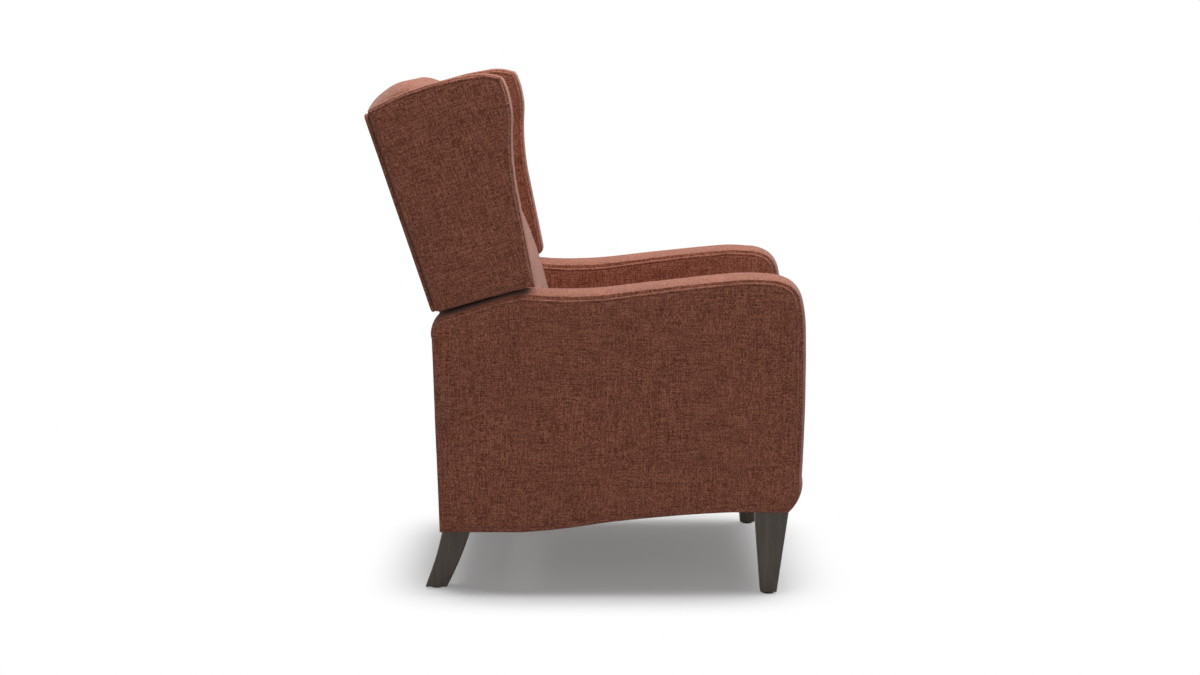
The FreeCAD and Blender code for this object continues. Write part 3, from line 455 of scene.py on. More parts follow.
def tweed_material(name, lean=0.0):
    """Woven tweed: threads both ways with slubs, lying in the surface in a leaning frame."""
    material, graph, shader = new_material(name)
    coordinates = graph.add("TexCoord")
    upright = graph.mapped(coordinates.outputs["Object"], Rotation=(lean, 0, 0))
    facing = graph.add("Mapping", {"Rotation": (lean, 0, 0)}, vector_type="VECTOR")
    graph.join(coordinates.outputs["Normal"], facing, "Vector")
    split = graph.add("SeparateXYZ")
    graph.join(graph.squared(facing), split)

    def threads(along, across, detail):
        """Streaks along each of the three directions, where that lies in the surface."""
        total = None
        for axis in range(3):
            scale = [across] * 3
            scale[axis] = along
            shift = (axis * 7.3, axis * 3.1, axis * 5.7)
            place = graph.mapped(upright, Scale=scale, Location=shift)
            streak = graph.noise(place, Scale=1, Detail=detail)
            lies = graph.maths("SUBTRACT", 1, split.outputs[axis])
            centred = graph.maths("SUBTRACT", streak, 0.5)
            weighted = graph.maths("MULTIPLY", centred, lies)
            total = graph.maths("ADD", total, weighted) if total else weighted
        return total

    fine = threads(230, 820, 0.5)
    slubs = threads(30, 640, 0)
    weave = graph.maths("MULTIPLY_ADD", fine, 2.0, slubs)
    tone = graph.maths("MULTIPLY_ADD", weave, 0.84, 0.5)
    yarn = graph.ramp(tone, (0.18, TWEED_DARK), (0.86, TWEED_LIGHT), (0.5, TWEED_MID), "EASE")
    cloud = graph.noise(coordinates.outputs["Object"], Scale=9, Detail=3)
    shade = graph.spread(cloud, 0.86, 1.14)
    coloured = graph.add("Mix", {"Factor": 1}, data_type="RGBA", blend_type="MULTIPLY")
    graph.join(yarn, coloured, "A")
    graph.join(shade, coloured, "B")
    graph.join(coloured.outputs["Result"], shader, "Base Color")
    graph.relief(weave, shader, 0.55, 0.0011)
    shader.inputs["Roughness"].default_value = 0.93
    shader.inputs["Specular IOR Level"].default_value = 0.15
    shader.inputs["Sheen Weight"].default_value = 0.34
    shader.inputs["Sheen Roughness"].default_value = 0.55
    shader.inputs["Sheen Tint"].default_value = (1.0, 0.86, 0.82, 1)
    return material


def thread_material():
    """Sewing thread, darker than the tweed as painted shade of its dip, with painted light and
    shade of its twisted plies.
    """
    material, graph, shader = new_material("sewing_thread")
    coordinates = graph.add("TexCoord")
    # Painted light and shade of the thread's twisted plies, between its shaded and lit colours
    painted_twist_shade = graph.noise(coordinates.outputs["Object"], Scale=900)
    graph.join(graph.ramp(painted_twist_shade, (0, THREAD_PAINTED_SHADE), (1, THREAD_PAINTED_LIGHT)), shader, "Base Color")
    shader.inputs["Roughness"].default_value = 0.7
    return material


def wood_material(name, dark, light, grain_axis, rough):
    """Straight grain along one axis, with pores and a little figure."""
    material, graph, shader = new_material(name)
    coordinates = graph.add("TexCoord")

    def grained(along, across, **sockets):
        scale = [across] * 3
        scale[grain_axis] = along
        place = graph.mapped(coordinates.outputs["Object"], Scale=scale)
        return graph.noise(place, Scale=1, **sockets)

    grain = grained(5, 110, Detail=6, Distortion=0.4)
    pores = grained(30, 700)
    graph.join(graph.ramp(grain, (0.32, dark), (0.68, light)), shader, "Base Color")
    graph.relief(graph.maths("MULTIPLY_ADD", pores, 0.6, grain), shader, 0.25, 0.0006)
    graph.join(graph.spread(pores, rough - 0.08, rough + 0.1), shader, "Roughness")
    return material


def surface_material(name, dark, light, metallic, rough, size):
    """Painted, plated or moulded surfaces: fine mottling in colour, gloss and height."""
    material, graph, shader = new_material(name)
    coordinates = graph.add("TexCoord")
    mottle = graph.noise(coordinates.outputs["Object"], Scale=size, Detail=4)
    graph.join(graph.ramp(mottle, (0.3, dark), (0.7, light)), shader, "Base Color")
    graph.join(graph.spread(mottle, rough - 0.07, rough + 0.07), shader, "Roughness")
    graph.relief(mottle, shader, 0.3, 0.0002)
    shader.inputs["Metallic"].default_value = metallic
    return material


# Slot, then name, dark and light colour, grain axis and roughness
WOODS = {
    "leg_wood": ("espresso_wood", (0.048, 0.035, 0.026), (0.105, 0.079, 0.060), 2, 0.45),
    "frame_wood": ("bare_wood", (0.42, 0.29, 0.17), (0.66, 0.50, 0.33), 1, 0.62),
}
# Slot, then name, dark and light colour, metallic, roughness and mottling's scale
SURFACES = {
    "glide": ("black_nylon", (0.012, 0.012, 0.012), (0.022, 0.022, 0.022), 0, 0.5, 400),
    "zinc": ("zinc_plate", (0.50, 0.50, 0.48), (0.66, 0.66, 0.63), 1, 0.34, 260),
    "black_steel": ("black_coat", (0.022, 0.022, 0.024), (0.04, 0.04, 0.043), 0.3, 0.4, 500),
    "spring_steel": ("oiled_steel", (0.13, 0.13, 0.14), (0.25, 0.25, 0.26), 0.9, 0.36, 300),
    "clip_plastic": ("clip_nylon", (0.02, 0.02, 0.022), (0.035, 0.035, 0.038), 0, 0.5, 400),
}
TWEED = tweed_material("tweed")
BACK_TWEED = tweed_material("tweed_back", BACK_ANGLE)
THREAD = thread_material()
MATERIALS = {"upholstery": TWEED}
MATERIALS.update((slot, wood_material(*row)) for slot, row in WOODS.items())
MATERIALS.update((slot, surface_material(*row)) for slot, row in SURFACES.items())


def dress(piece, slot, body, *nodes, material=None):
    """Material from its slot or as given, body, and hidden CAD nodes that a piece stands for."""
    piece.data.materials.clear()
    piece.data.materials.append(material or MATERIALS[slot])
    if nodes:
        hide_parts(*nodes)
    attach(piece, body)


def dress_thread(thread, body):
    dress(thread, "upholstery", body, material=THREAD)


def topstitch_faces(name, keys, place, outer, inner, crown, last, body, step=6.0):
    """Stitch rows on both panels of a boxed form, up to one stretch of its outline."""
    for label, near, far in (("outer", outer, inner), ("inner", inner, outer)):
        row_name = f"{name}_{label}_stitch"
        dress_thread(topstitch(row_name, keys, place, near, far, crown, 1, last, step), body)


def cut_away(piece, low, high):
    """Takes a box out of a piece."""
    shape = bmesh.new()
    bmesh.ops.create_cube(shape, size=1)
    cutter = added("cutter", mesh_of("cutter", shape))
    low, high = Vector(low), Vector(high)
    cutter.matrix_world = Matrix.LocRotScale((low + high) / 2 * MM, None, (high - low) * MM)
    modifier = piece.modifiers.new("cut", "BOOLEAN")
    modifier.operation = "DIFFERENCE"
    modifier.solver = "MANIFOLD"
    modifier.object = cutter
    apply_modifiers(piece)
    bpy.data.objects.remove(cutter)
    piece.data.set_sharp_from_angle(angle=math.radians(50))


def keep_off(piece, side, limit):
    """Presses the inner face of an arm or a wing flat where it would pass its limit."""
    for vertex in piece.data.vertices:
        least = limit(vertex.co / MM) * MM
        if vertex.co.x * side < least:
            vertex.co.x = least * side


# Arms

def arm_keys():
    front = ARM_FRONT
    low = ARM_LOW
    high = ARM_HIGH
    rear = ARM_REAR
    shoulder = high - 29
    full = 1.35
    return [
        [(rear + 14, low - 96, 0.2, 0)],
        [(rear + 10, low - 61, 0.4, 0.4), (rear - 8, low - 45, 0.4, 0.9)],
        [(rear - 132, low - 5, 0.2, 1)],
        [(rear - 174, low + 2, 0, 1), (rear - 216, low + 0.5, 0, 1)],
        [(rear - 284, low, 0, 1.1), (rear - 364, low + 5.5, 0, 1.1)],
        [(rear - 484, low + 19, 0, 0.9), (front + 153, high - 1, 0, 0.8)],
        [(front + 115, high + 1, -0.1, 0.8), (front + 77, high - 1, -0.3, 0.8)],
        [(front + 50, high - 5, -0.6, 0.75), (front + 30, high - 14, -0.9, 0.6)],
        [(front + 16, shoulder, -1, 0.4), (front + 8, shoulder - 19, -1.15, 0.2)],
        [(front + 3, shoulder - 46, -1.25, 0.1), (front, shoulder - 85, -full, 0)],
        [(front - 0.5, shoulder - 250, -full, 0), (front + 4, FRONT_BOTTOM + 69, -full, 0)],
        [(front + 10, FRONT_BOTTOM + 23, -full, 0), (front + 29, FRONT_BOTTOM, -0.9, 0)],
        [(front + 153, FRONT_BOTTOM, 0, 0)],
        [(front + 290, FRONT_BOTTOM - 8, 0, 0), (rear - 331, REAR_BOTTOM + 18.5, 0, 0)],
        [(rear - 256, REAR_BOTTOM + 7.5, 0, 0), (rear - 170, REAR_BOTTOM, 0, 0)],
        [(rear, REAR_BOTTOM, 0, 0)],
    ]


# The inner panel lies this much inside the CAD arm's, to leave room for its puff
ARM_TUCK = 2.5
# Its free space to the CAD's inner face, what is added to it above the seat's steel plates,
# and the height over which that grows
ARM_CLEAR = 0.2
ARM_CLEAR_HIGH = 1.6
PLATES_TOP = 396
PLATES_FADE = 24
# The pocket for the base plate: reach out of the arm and into it, its ends, bottom and top
POCKET_OUT = 8
POCKET_IN = 17
POCKET_FRONT = -375
POCKET_REAR = 284
POCKET_LOW = 100
POCKET_TOP = 372


def make_arms():
    keys = arm_keys()

    def limit(at):
        """Nothing bulges low down, where the steel plates of the seat pass."""
        share = min(1, max(0, (at.z - PLATES_TOP) / PLATES_FADE))
        return ARM_INNER - ARM_CLEAR - ARM_CLEAR_HIGH * share

    for name, side in SIDES:
        outer = side * HALF_WIDTH
        inner = side * ARM_INNER
        arm = boxed(f"{name}_arm", keys, on_chair, outer, inner + side * ARM_TUCK, ARM_CROWN)
        undulate(arm, 0.9, 150, side)
        undulate(arm, 0.25, 32, side + 5)
        keep_off(arm, side, limit)
        near, far = sorted((side * (ARM_INNER - POCKET_OUT), side * (ARM_INNER + POCKET_IN)))
        cut_away(arm, (near, POCKET_FRONT, POCKET_LOW), (far, POCKET_REAR, POCKET_TOP))
        dress(arm, "upholstery", "base", f"{name}_arm_cover")
        topstitch_faces(f"{name}_arm", keys, on_chair, outer, inner, ARM_CROWN, 12, "base")


# Wings

def forward_up(keys):
    """Keys given as forward and up the back, in the back's own frame."""
    return [[(-w, u, -nw, nu) for w, u, nw, nu in stretch] for stretch in keys]


def wing_keys():
    return forward_up([
        [(5, 428, 0, 0)],
        [(8, 435, 0, 0.4), (16, 438.5, 0, 0.6)],
        [(110, 447, 0, 0.7), (225, 438.5, 0, 0.7)],
        [(254, 431.5, 0.3, 0.7), (281, 417, 0.5, 0.7)],
        [(286.5, 412, 0.8, 0.5), (289, 405, 1, 0.2)],
        [(290, 384, 1, 0.1), (288, 360, 1, 0)],
        [(283, 334, 1, 0), (274, 308, 1, 0)],
        [(253, 240, 1, 0), (240, 165, 1, 0)],
        [(230, 90, 1, 0), (219, 4.5, 1, 0)],
        [(212.7, -7.3, 0.7, -0.5), (200, -11.3, 0.1, -0.7)],
        [(110, -5, 0, -0.6), (15, -1, 0, -0.5)],
        [(5, 3, 0, 0)],
    ])


# The inner panel's place inside the CAD wing's, and its free space to the inner face
WING_TUCK = 3
WING_CLEAR = 0.6
WING_STEP = 5.0
# Pleats at the wing's front corner, as (start, end, width) with places (a, b) in the back's frame
WING_PLEATS = (((-243, 430.5), (-283, 408), 5.5), ((-266, 357.5), (-285, 357), 2.4))
# Section of a pleat: share of its width out from its lower edge, share of its thickness
PLEAT_SECTION = ((0.1, 0), (-0.1, 0.45), (-0.08, 0.9), (0.04, 1.2), (0.2, 1.22), (0.45, 0.95),
                 (0.75, 0.6), (1.0, 0.25), (1.05, 0), (0.5, -0.3))
PLEAT_ROWS = 15
PLEAT_SUNK = 0.8


def pleat(name, place, face, side, start, end, wide):
    """A folded lap of cloth on a flat face: thick at its lower edge, it grows towards its end."""
    along = Vector(end) - Vector(start)
    across = Vector((along[1], -along[0])).normalized()
    rings = []
    for index in range(PLEAT_ROWS):
        share = index / (PLEAT_ROWS - 1)
        thick = 0.5 + 2.6 * share ** 0.8
        reach = 0.8 + (wide - 0.8) * share
        bow = 0.8 * math.sin(share * math.pi)
        ring = []
        for out, lift in PLEAT_SECTION:
            a, b = Vector(start) + along * share + across * (out * reach + bow)
            ring.append(place(face + side * (lift * thick - PLEAT_SUNK), a, b))
        rings.append(ring)
    return skin(name, rings, sharp_from=55)


def make_wings():
    keys = wing_keys()
    for name, side in SIDES:
        outer = side * HALF_WIDTH
        inner = side * WING_INNER
        wing = boxed(f"{name}_wing", keys, on_back, outer, inner + side * WING_TUCK, WING_CROWN,
                     puff=2.0, step=WING_STEP)
        undulate(wing, 0.9, 120, side + 11)
        undulate(wing, 0.3, 30, side + 15)
        keep_off(wing, side, lambda at: WING_INNER - WING_CLEAR)
        dress(wing, "upholstery", "back", f"{name}_wing_cover", material=BACK_TWEED)
        for row, (start, end, wide) in enumerate(WING_PLEATS, start=1):
            fold = pleat(f"{name}_wing_pleat_{row}", on_back, outer, side, start, end, wide)
            dress(fold, "upholstery", "back", material=BACK_TWEED)
        topstitch_faces(f"{name}_wing", keys, on_back, outer, inner, WING_CROWN, 10, "back",
                        step=WING_STEP)


# Rear panels

def rear_panel_keys():
    wide = 376
    narrow = 238
    step = 3
    top = 430
    low = -229
    return [
        [(narrow, low, 0.5, -0.5)],
        [(narrow, step, 1, 0)],
        [(wide - 8, step, 0.5, -1)],
        [(wide - 2, step + 2, 1, -1), (wide, step + 8, 1, 0)],
        [(wide, top - 14, 1, 0)],
        [(wide - 4, top - 4, 0.7, 0.7), (wide - 14, top, 0, 1)],
        [(-wide + 14, top, 0, 1)],
        [(-wide + 4, top - 4, -0.7, 0.7), (-wide, top - 14, -1, 0)],
        [(-wide, step + 8, -1, 0)],
        [(-wide + 2, step + 2, -1, -1), (-wide + 8, step, -0.5, -1)],
        [(-narrow, step, -1, 0)],
        [(-narrow, low, -0.5, -0.5)],
    ]


def tail_keys():
    wide = 245
    low = 140
    high = 377
    return [
        [(wide, low, 0, 0)],
        [(wide, high - 6, 1, 0)],
        [(wide - 2, high - 2, 1, 1), (wide - 6, high, 0, 1)],
        [(-wide + 6, high, 0, 1)],
        [(-wide + 2, high - 2, -1, 1), (-wide, high - 6, -1, 0)],
        [(-wide, low, 0, 0)],
    ]


# Half the rear panel's thickness, and the tail panel's faces in from the arms' rear
PANEL_HALF = 4.2
TAIL_FACES = (1.5, 16.5)


def make_rear_panels():
    panel = boxed("rear_panel", rear_panel_keys(), on_back_face, PANEL_HALF, -PANEL_HALF, 1.6,
                  puff=0.8, step=12.0)
    undulate(panel, 0.6, 140, 21)
    dress(panel, "upholstery", "back", "outside_back", material=BACK_TWEED)
    outer, inner = (ARM_REAR - depth for depth in TAIL_FACES)
    tail = boxed("tail_skin", tail_keys(), on_tail_face, outer, inner, 2.0, puff=1.0, step=8.0)
    undulate(tail, 0.5, 120, 22)
    dress(tail, "upholstery", "base", "tail_panel")


# Cushions

# Rows of a cushion's end, as shares of the way to its middle
END_SHARES = (0.9, 0.75, 0.55, 0.35, 0.18, 0.07)
# Rows of the border beside each end
BORDER_ROWS = 9


def pillow_rings(keys, place, half, crown, border, step=8.0):
    """Rings across a cushion whose side seams are drawn in, with its side panels."""
    stations = []
    for index in range(BORDER_ROWS + 1):
        turn = math.pi / 2 * index / BORDER_ROWS
        stations.append((-half + border * (1 - math.cos(turn)), crown * (1 - math.sin(turn))))
    stations += [(-x, inset) for x, inset in reversed(stations)]
    seam = trace(keys, crown, step)
    centre = centre_of(seam)
    rings = []
    for share in END_SHARES:
        rings.append([place(-half, a, b) for a, b in towards(seam, centre, share)])
    for x, inset in stations:
        rings.append([place(x, a, b) for a, b in trace(keys, inset, step)])
    for share in reversed(END_SHARES):
        rings.append([place(half, a, b) for a, b in towards(seam, centre, share)])
    return rings


CLOTH_PRESSURE = 4.0
CLOTH_FRAMES = 20


def swell(piece, voxel, is_held, cap, room):
    """Inflates a cushion as cloth round its held points, capped, inside the room it has."""
    remesh = piece.modifiers.new("even", "REMESH")
    remesh.mode = "VOXEL"
    remesh.voxel_size = voxel * MM
    apply_modifiers(piece)
    start = [vertex.co.copy() for vertex in piece.data.vertices]
    held = [index for index, co in enumerate(start) if is_held(co / MM)]
    piece.vertex_groups.new(name="held").add(held, 1, "REPLACE")
    cloth = piece.modifiers.new("swell", "CLOTH")
    cloth.settings.vertex_group_mass = "held"
    cloth.settings.use_pressure = True
    cloth.settings.uniform_pressure_force = CLOTH_PRESSURE
    cloth.settings.effector_weights.gravity = 0
    cloth.point_cache.frame_end = CLOTH_FRAMES
    scene = bpy.context.scene
    for frame_number in range(1, CLOTH_FRAMES + 1):
        scene.frame_set(frame_number)
    apply_modifiers(piece)
    piece.vertex_groups.clear()
    scene.frame_set(1)
    for vertex, before in zip(piece.data.vertices, start):
        move = vertex.co - before
        limit = cap(before / MM) * MM
        if move.length > limit:
            move *= limit / move.length
        vertex.co = before + move
    subdivision = piece.modifiers.new("even", "SUBSURF")
    subdivision.levels = 1
    apply_modifiers(piece)
    for vertex in piece.data.vertices:
        vertex.co = room(vertex.co / MM) * MM
    smooth(piece.data)


def press(piece, path, depth, width):
    """Sinks a seam into a cushion along a path of places."""
    tree = kdtree.KDTree(len(path))
    for index, place in enumerate(path):
        tree.insert(place, index)
    tree.balance()
    vertices = piece.data.vertices
    normals = [vertex.normal.copy() for vertex in vertices]
    for vertex, normal in zip(vertices, normals):
        distance = tree.find(vertex.co)[2] / MM
        if distance < width:
            vertex.co -= normal * depth * MM * (1 - distance / width) ** 2


# How far stitches stand off a cushion
STITCH_LIFT = 0.15


def sew(name, piece, path, body):
    """A row of stitches laid on a cushion's surface along a path."""
    surface = surface_of(piece)
    laid = []
    for place in path:
        spot, normal = surface.find_nearest(place)[:2]
        laid.append(spot + normal * STITCH_LIFT * MM)
    dress_thread(stitches(name, laid), body)


def dense(path, step=2.0):
    """The same path with a point every few millimetres."""
    points = []
    for start, end in zip(path, path[1:]):
        count = max(1, round((end - start).length / MM / step))
        points += [start.lerp(end, k / count) for k in range(count)]
    return points + [path[-1]]


def within(place, low, high):
    return Vector(max(a, min(b, c)) for a, b, c in zip(low, place, high))


SEAT_HALF = 243
SEAT_FRONT = -438
SEAT_REAR = 77
SEAT_LOW = 397.3
SEAT_BORDER = 486
SEAT_TOP = 503
# The seat's cushion never reaches this height
SEAT_CEILING = 600


def seat_keys():
    front = SEAT_FRONT
    rear = SEAT_REAR
    low = SEAT_LOW
    border = SEAT_BORDER
    return [
        [(front - 5, (low + border) / 2, -1, 0), (front, border - 14, -1, 0.2)],
        [(front + 6, border - 2, -0.7, 0.7), (front + 22, border + 3, 0, 1)],
        [((front + rear) / 2, SEAT_TOP, 0, 1.6), (rear - 22, border + 1, 0, 1)],
        [(rear - 6, border - 4, 0.7, 0.7), (rear, border - 18, 1, 0)],
        [(rear, low + 8, 1, 0)],
        [(rear - 3.6, low + 2.2, 0.5, 0), (rear - 10, low, 0.5, 0)],
        [(front + 24, low, -0.5, 0)],
        [(front + 8.6, low + 5.3, -0.5, 0), (front, low + 19, -1, 0)],
    ]


def make_seat_cushion():
    seat = skin("seat_pad", pillow_rings(seat_keys(), on_chair, SEAT_HALF, 9, 90))

    def is_held(at):
        return at.z < SEAT_BORDER - 22 or abs(at.x) > SEAT_HALF - 3 or at.y > SEAT_REAR - 12

    def cap(at):
        return 14 if at.z > SEAT_BORDER - 8 else 3

    def room(at):
        return within(at, (-SEAT_HALF, SEAT_FRONT - 6, SEAT_LOW),
                      (SEAT_HALF, SEAT_REAR, SEAT_CEILING))

    swell(seat, 6, is_held, cap, room)
    edge = ((1, SEAT_REAR - 14, SEAT_BORDER - 12),
            (1, (SEAT_REAR + SEAT_FRONT) / 2, SEAT_BORDER + 2),
            (1, SEAT_FRONT + 24, SEAT_BORDER - 4),
            (3, SEAT_FRONT + 6, SEAT_BORDER - 9))
    seam = [on_chair(depth - SEAT_HALF, a, b) for depth, a, b in edge]
    seam += [on_chair(SEAT_HALF - depth, a, b) for depth, a, b in reversed(edge)]
    press(seat, dense(seam), 2.6, 7)
    dress(seat, "upholstery", "seat", "seat_cushion")
    ends = (-SEAT_HALF + 12, SEAT_HALF - 12)
    row = dense([on_chair(x, SEAT_FRONT + 16, SEAT_BORDER + 4) for x in ends])
    sew("seat_stitch", seat, row, "seat")


PAD_HALF = 241
PAD_FRONT = -434
PAD_REAR = -384
PAD_LOW = 174
PAD_HIGH = 377
# The heights of its seams' corners, and how far inside them its stitches lie
PAD_SEAMS = (182, 369)
PAD_STITCH_IN = 8
# The cloth swells no further forward than this, nor more than this to each side
PAD_REACH = -441
PAD_SPARE = 1


def pad_keys():
    front = PAD_FRONT
    low = PAD_LOW
    high = PAD_HIGH
    return [
        [(front - 3, (low + high) / 2, -1, 0), (front + 4, high - 4, -0.8, 0.4)],
        [(front + 8, high - 1, -0.4, 0.8), (front + 14, high, 0, 0.5)],
        [(PAD_REAR, high, 0, 0.3)],
        [(PAD_REAR, low, 0, -0.3)],
        [(front + 14, low, 0, -0.5)],
        [(front + 8, low + 1, -0.4, -0.8), (front + 4, low + 4, -0.8, -0.4)],
    ]


def make_foot_pad():
    pad = skin("foot_pad", pillow_rings(pad_keys(), on_chair, PAD_HALF, 5, 50, step=5))
    low, high = PAD_SEAMS

    def is_held(at):
        return at.y > -410 or abs(at.x) > PAD_HALF - 3 or not low < at.z < high

    def room(at):
        half = PAD_HALF + PAD_SPARE
        return within(at, (-half, PAD_REACH, PAD_LOW), (half, PAD_REAR, PAD_HIGH))

    def around(x, y, inside):
        """A path round the pad's front face."""
        corners = ((-x, low + inside), (-x, high - inside), (x, high - inside), (x, low + inside),
                   (-x, low + inside))
        return dense([on_chair(across, y, z) for across, z in corners])

    swell(pad, 5, is_held, lambda at: 5, room)
    press(pad, around(PAD_HALF - 5, -432, 0), 1.8, 6)
    dress(pad, "upholstery", "footrest", "footrest_pad")
    sew("pad_stitch", pad, around(PAD_HALF - 13, -438, PAD_STITCH_IN), "footrest")


BACK_HALF = 298.8
BACK_NARROW = 240
# Up the back: where the cushion narrows between the arms, and the head roll's seam
BACK_STEP = 1
HEAD_SEAM = 292
HEAD_TOP = 471


def back_keys():
    return forward_up([
        [(45.3, 431, 0, 0)],
        [(-6.5, 431, 0, 0)],
        [(-7.5, 438, -0.3, 0.2)],
        [(8, 450, -0.3, 0.7), (32, 460, 0, 1.1)],
        [(58, 468, 0, 1.3), (85, HEAD_TOP, 0.1, 1.3)],
        [(119, 451, 0.5, 0.8), (148, 415, 0.9, 0.4)],
        [(163, 387, 1, 0), (168, 355, 1, 0)],
        [(167, 295, 1, 0), (175, 235, 1, 0)],
        [(190, 185, 1, 0), (201, 130, 1, 0)],
        [(208, 45, 1, 0), (205, -60, 1, 0)],
        [(200, -130, 1, 0), (188, -180, 1, 0)],
        [(178, -190, 0.7, 0), (162, -191, 0.5, 0)],
        [(45.3, -185, 0, 0)],
    ])


def make_back_cushion():
    back = skin("back_pad", pillow_rings(back_keys(), on_back, BACK_HALF, 22, 110))
    turn = BACK_TURN.transposed()

    def in_back(at):
        return turn @ (at - BACK_AT)

    def is_held(at):
        """The rear below the head roll, the bottom, the sides and the head roll's seam."""
        local = in_back(at)
        rear = local.y > -60 and local.z < 425
        seam = abs(local.z - HEAD_SEAM) < 5 and local.y < -100
        return rear or local.z < -170 or abs(local.x) > BACK_HALF - 4 or seam

    def cap(at):
        local = in_back(at)
        if local.z > 420:
            return 4
        return 16 if local.z > 0 else 9

    def room(at):
        local = in_back(at)
        half = BACK_HALF if local.z > BACK_STEP else BACK_NARROW
        local = within(local, (-half, -224, -190), (half, 8, HEAD_TOP + 5))
        return BACK_TURN @ local + BACK_AT

    swell(back, 6, is_held, cap, room)
    undulate(back, 0.8, 110, 33)
    surface = surface_of(back)
    ahead = BACK_TURN @ Vector((0, 1, 0))
    seam = dense([on_back(x, -150, HEAD_SEAM) for x in (-BACK_HALF, BACK_HALF)])
    seam = [surface.ray_cast(place - ahead * 0.3, ahead)[0] or place for place in seam]
    press(back, seam, 3.5, 9)
    dress(back, "upholstery", "back", "back_cushion", material=BACK_TWEED)
    rise = BACK_TURN @ Vector((0, 0, 1))
    for label, shift in (("upper", 7), ("lower", -7)):
        row = [place + rise * shift * MM for place in seam[4:-4]]
        sew(f"head_{label}_stitch", back, row, "back")


# Legs

# Each pair: across, foot and top backward, widths at the foot and the top, height and bow
LEGS = {
    "front": (335, -384.6, -389, 34, 70, 182, 0),
    "rear": (285, 317.5, 270, 46, 61, 140, 3.5),
}
LEG_FOOT = 5
LEG_ROWS = 13
# The radius of a leg's corners, as a share of its width, and the steps round each
LEG_CORNER = 0.072
CORNER_STEPS = 4


def leg_ring(x, y, z, width):
    """A square with rounded corners."""
    corner = width * LEG_CORNER
    ring = []
    for quarter in range(4):
        cx = (width / 2 - corner) * (1 if quarter in (0, 3) else -1)
        cy = (width / 2 - corner) * (1 if quarter in (0, 1) else -1)
        for part in range(CORNER_STEPS + 1):
            angle = math.pi / 2 * (quarter + part / CORNER_STEPS)
            ring.append(on_chair(x + cx + corner * math.cos(angle),
                                 y + cy + corner * math.sin(angle), z))
    return ring


def make_legs():
    for row, (x, foot_y, top_y, foot_wide, top_wide, top, bow) in LEGS.items():
        for name, side in SIDES:
            rings = []
            for index in range(LEG_ROWS):
                share = index / (LEG_ROWS - 1)
                y = foot_y + (top_y - foot_y) * share - bow * math.sin(share * math.pi)
                z = LEG_FOOT + (top - LEG_FOOT) * share
                rings.append(leg_ring(side * x, y, z, foot_wide + (top_wide - foot_wide) * share))
            node = f"{row}_{name}_leg"
            dress(skin(f"{node}_wood", rings, sharp_from=40), "leg_wood", "base", node)


def dress_frame():
    """Materials for the CAD nodes that stay visible."""
    for entry in frame["record"]["subparts"]:
        node = frame["nodes"][entry["node"]]
        node.data.materials.clear()
        node.data.materials.append(MATERIALS[entry["material_slot"]])
        smooth(node.data, sharp_from=35)
    frame["nodes"]["front_seat_rail"].data.materials[0] = TWEED


# Studio, in metres

def light(name, place, target, size, power):
    """A rectangular soft light, aimed at a place."""
    data = bpy.data.lights.new(name, "AREA")
    data.shape = "RECTANGLE"
    data.size, data.size_y = size
    data.energy = power
    lamp = added(name, data)
    lamp.location = place
    lamp.rotation_mode = "QUATERNION"
    lamp.rotation_quaternion = (Vector(target) - Vector(place)).to_track_quat("-Z", "Y")


def backdrop_rays(graph):
    """1 for the rays that see the plain background: from the camera, or from a gloss."""
    path = graph.add("LightPath")
    return graph.maths("MAXIMUM", path.outputs["Is Camera Ray"], path.outputs["Is Glossy Ray"])


# The part of the floor that takes the shadow: half lengths, backward place of its middle
FLOOR_REACH = (0.55, 0.545)
FLOOR_MIDDLE = -0.05
FLOOR_HALF = 20
FLOOR_SEEN = (0.92, 0.92, 0.92, 1)
FLOOR_LIT = (0.42, 0.42, 0.42, 1)
AMBIENT = 0.22


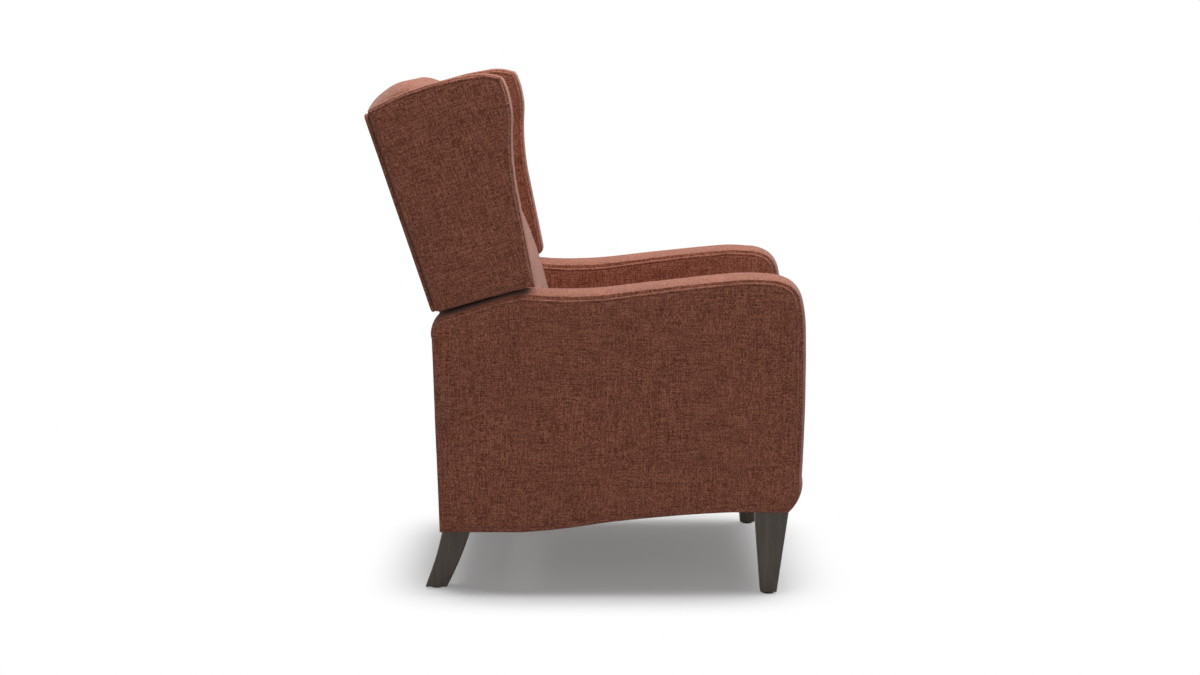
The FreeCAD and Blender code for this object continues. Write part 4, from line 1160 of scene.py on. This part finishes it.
def floor_material():
    """Pale floor that takes the shadow near the chair and is plain white further out."""
    material, graph, mix = new_material("pale_floor", "MixShader")
    seen = backdrop_rays(graph)
    tone = graph.add("Mix", {"A": FLOOR_LIT, "B": FLOOR_SEEN}, data_type="RGBA")
    graph.join(seen, tone, "Factor")
    lit = graph.add("BsdfDiffuse")
    graph.join(tone.outputs["Result"], lit, "Color")
    coordinates = graph.add("TexCoord")
    oval = graph.mapped(coordinates.outputs["Object"],
                        Scale=(1 / FLOOR_REACH[0], 1 / FLOOR_REACH[1], 0),
                        Location=(0, -FLOOR_MIDDLE / FLOOR_REACH[1], 0))
    fourth = graph.add("VectorMath", operation="LENGTH")
    graph.join(graph.squared(oval), fourth)
    far = graph.add("MapRange", {"From Min": 0.62, "From Max": 1, "To Min": 0.17},
                    interpolation_type="SMOOTHSTEP")
    graph.join(graph.maths("SQRT", fourth.outputs["Value"]), far, "Value")
    graph.join(graph.maths("MULTIPLY", far, seen), mix, 0)
    graph.join(lit, mix, 1)
    graph.join(graph.add("Emission"), mix, 2)
    return material


def make_world():
    """Plain white where it is seen, and a low even light on the chair."""
    world = bpy.data.worlds.new("studio")
    bpy.context.scene.world = world
    world.use_nodes = True
    graph = Graph(world.node_tree)
    mix = graph.add("MixShader")
    graph.join(backdrop_rays(graph), mix, 0)
    for socket, strength in ((1, AMBIENT), (2, 1.0)):
        plain = graph.add("Background", {"Color": (1, 1, 1, 1), "Strength": strength})
        graph.join(plain, mix, socket)
    graph.join(mix, graph.add("OutputWorld"))


def make_studio():
    bpy.context.scene.view_settings.view_transform = "Standard"
    make_world()
    light("overhead", (0.2, -0.3, 3.4), (0, 0, 0.4), (3.2, 3.2), 150)
    light("side_fill", (-4.5, -1.2, 2.2), (0, 0, 0.5), (2.5, 2.0), 12)
    shape = bmesh.new()
    bmesh.ops.create_grid(shape, x_segments=1, y_segments=1, size=FLOOR_HALF)
    floor = added("floor", mesh_of("floor", shape))
    floor.data.materials.append(floor_material())


# The camera found from the photo's outlines, in pixels of a 1200 wide image
FOCAL_PIXELS = 2180
IMAGE_WIDTH = 1200
HORIZON_ABOVE_MIDDLE = 299.5
SENSOR = 36


def make_camera():
    data = bpy.data.cameras.new("photo_camera")
    data.sensor_width = SENSOR
    data.lens = FOCAL_PIXELS / IMAGE_WIDTH * SENSOR
    camera = added("photo_camera", data)
    camera.location = (-4.82, -0.03, 1.159)
    tilt = math.atan(HORIZON_ABOVE_MIDDLE / FOCAL_PIXELS)
    camera.rotation_euler = (math.radians(90) - tilt, 0, math.radians(-90))
    bpy.context.scene.camera = camera


make_camera()
make_studio()
dress_frame()
make_arms()
make_wings()
make_rear_panels()
make_seat_cushion()
make_foot_pad()
make_back_cushion()
make_legs()
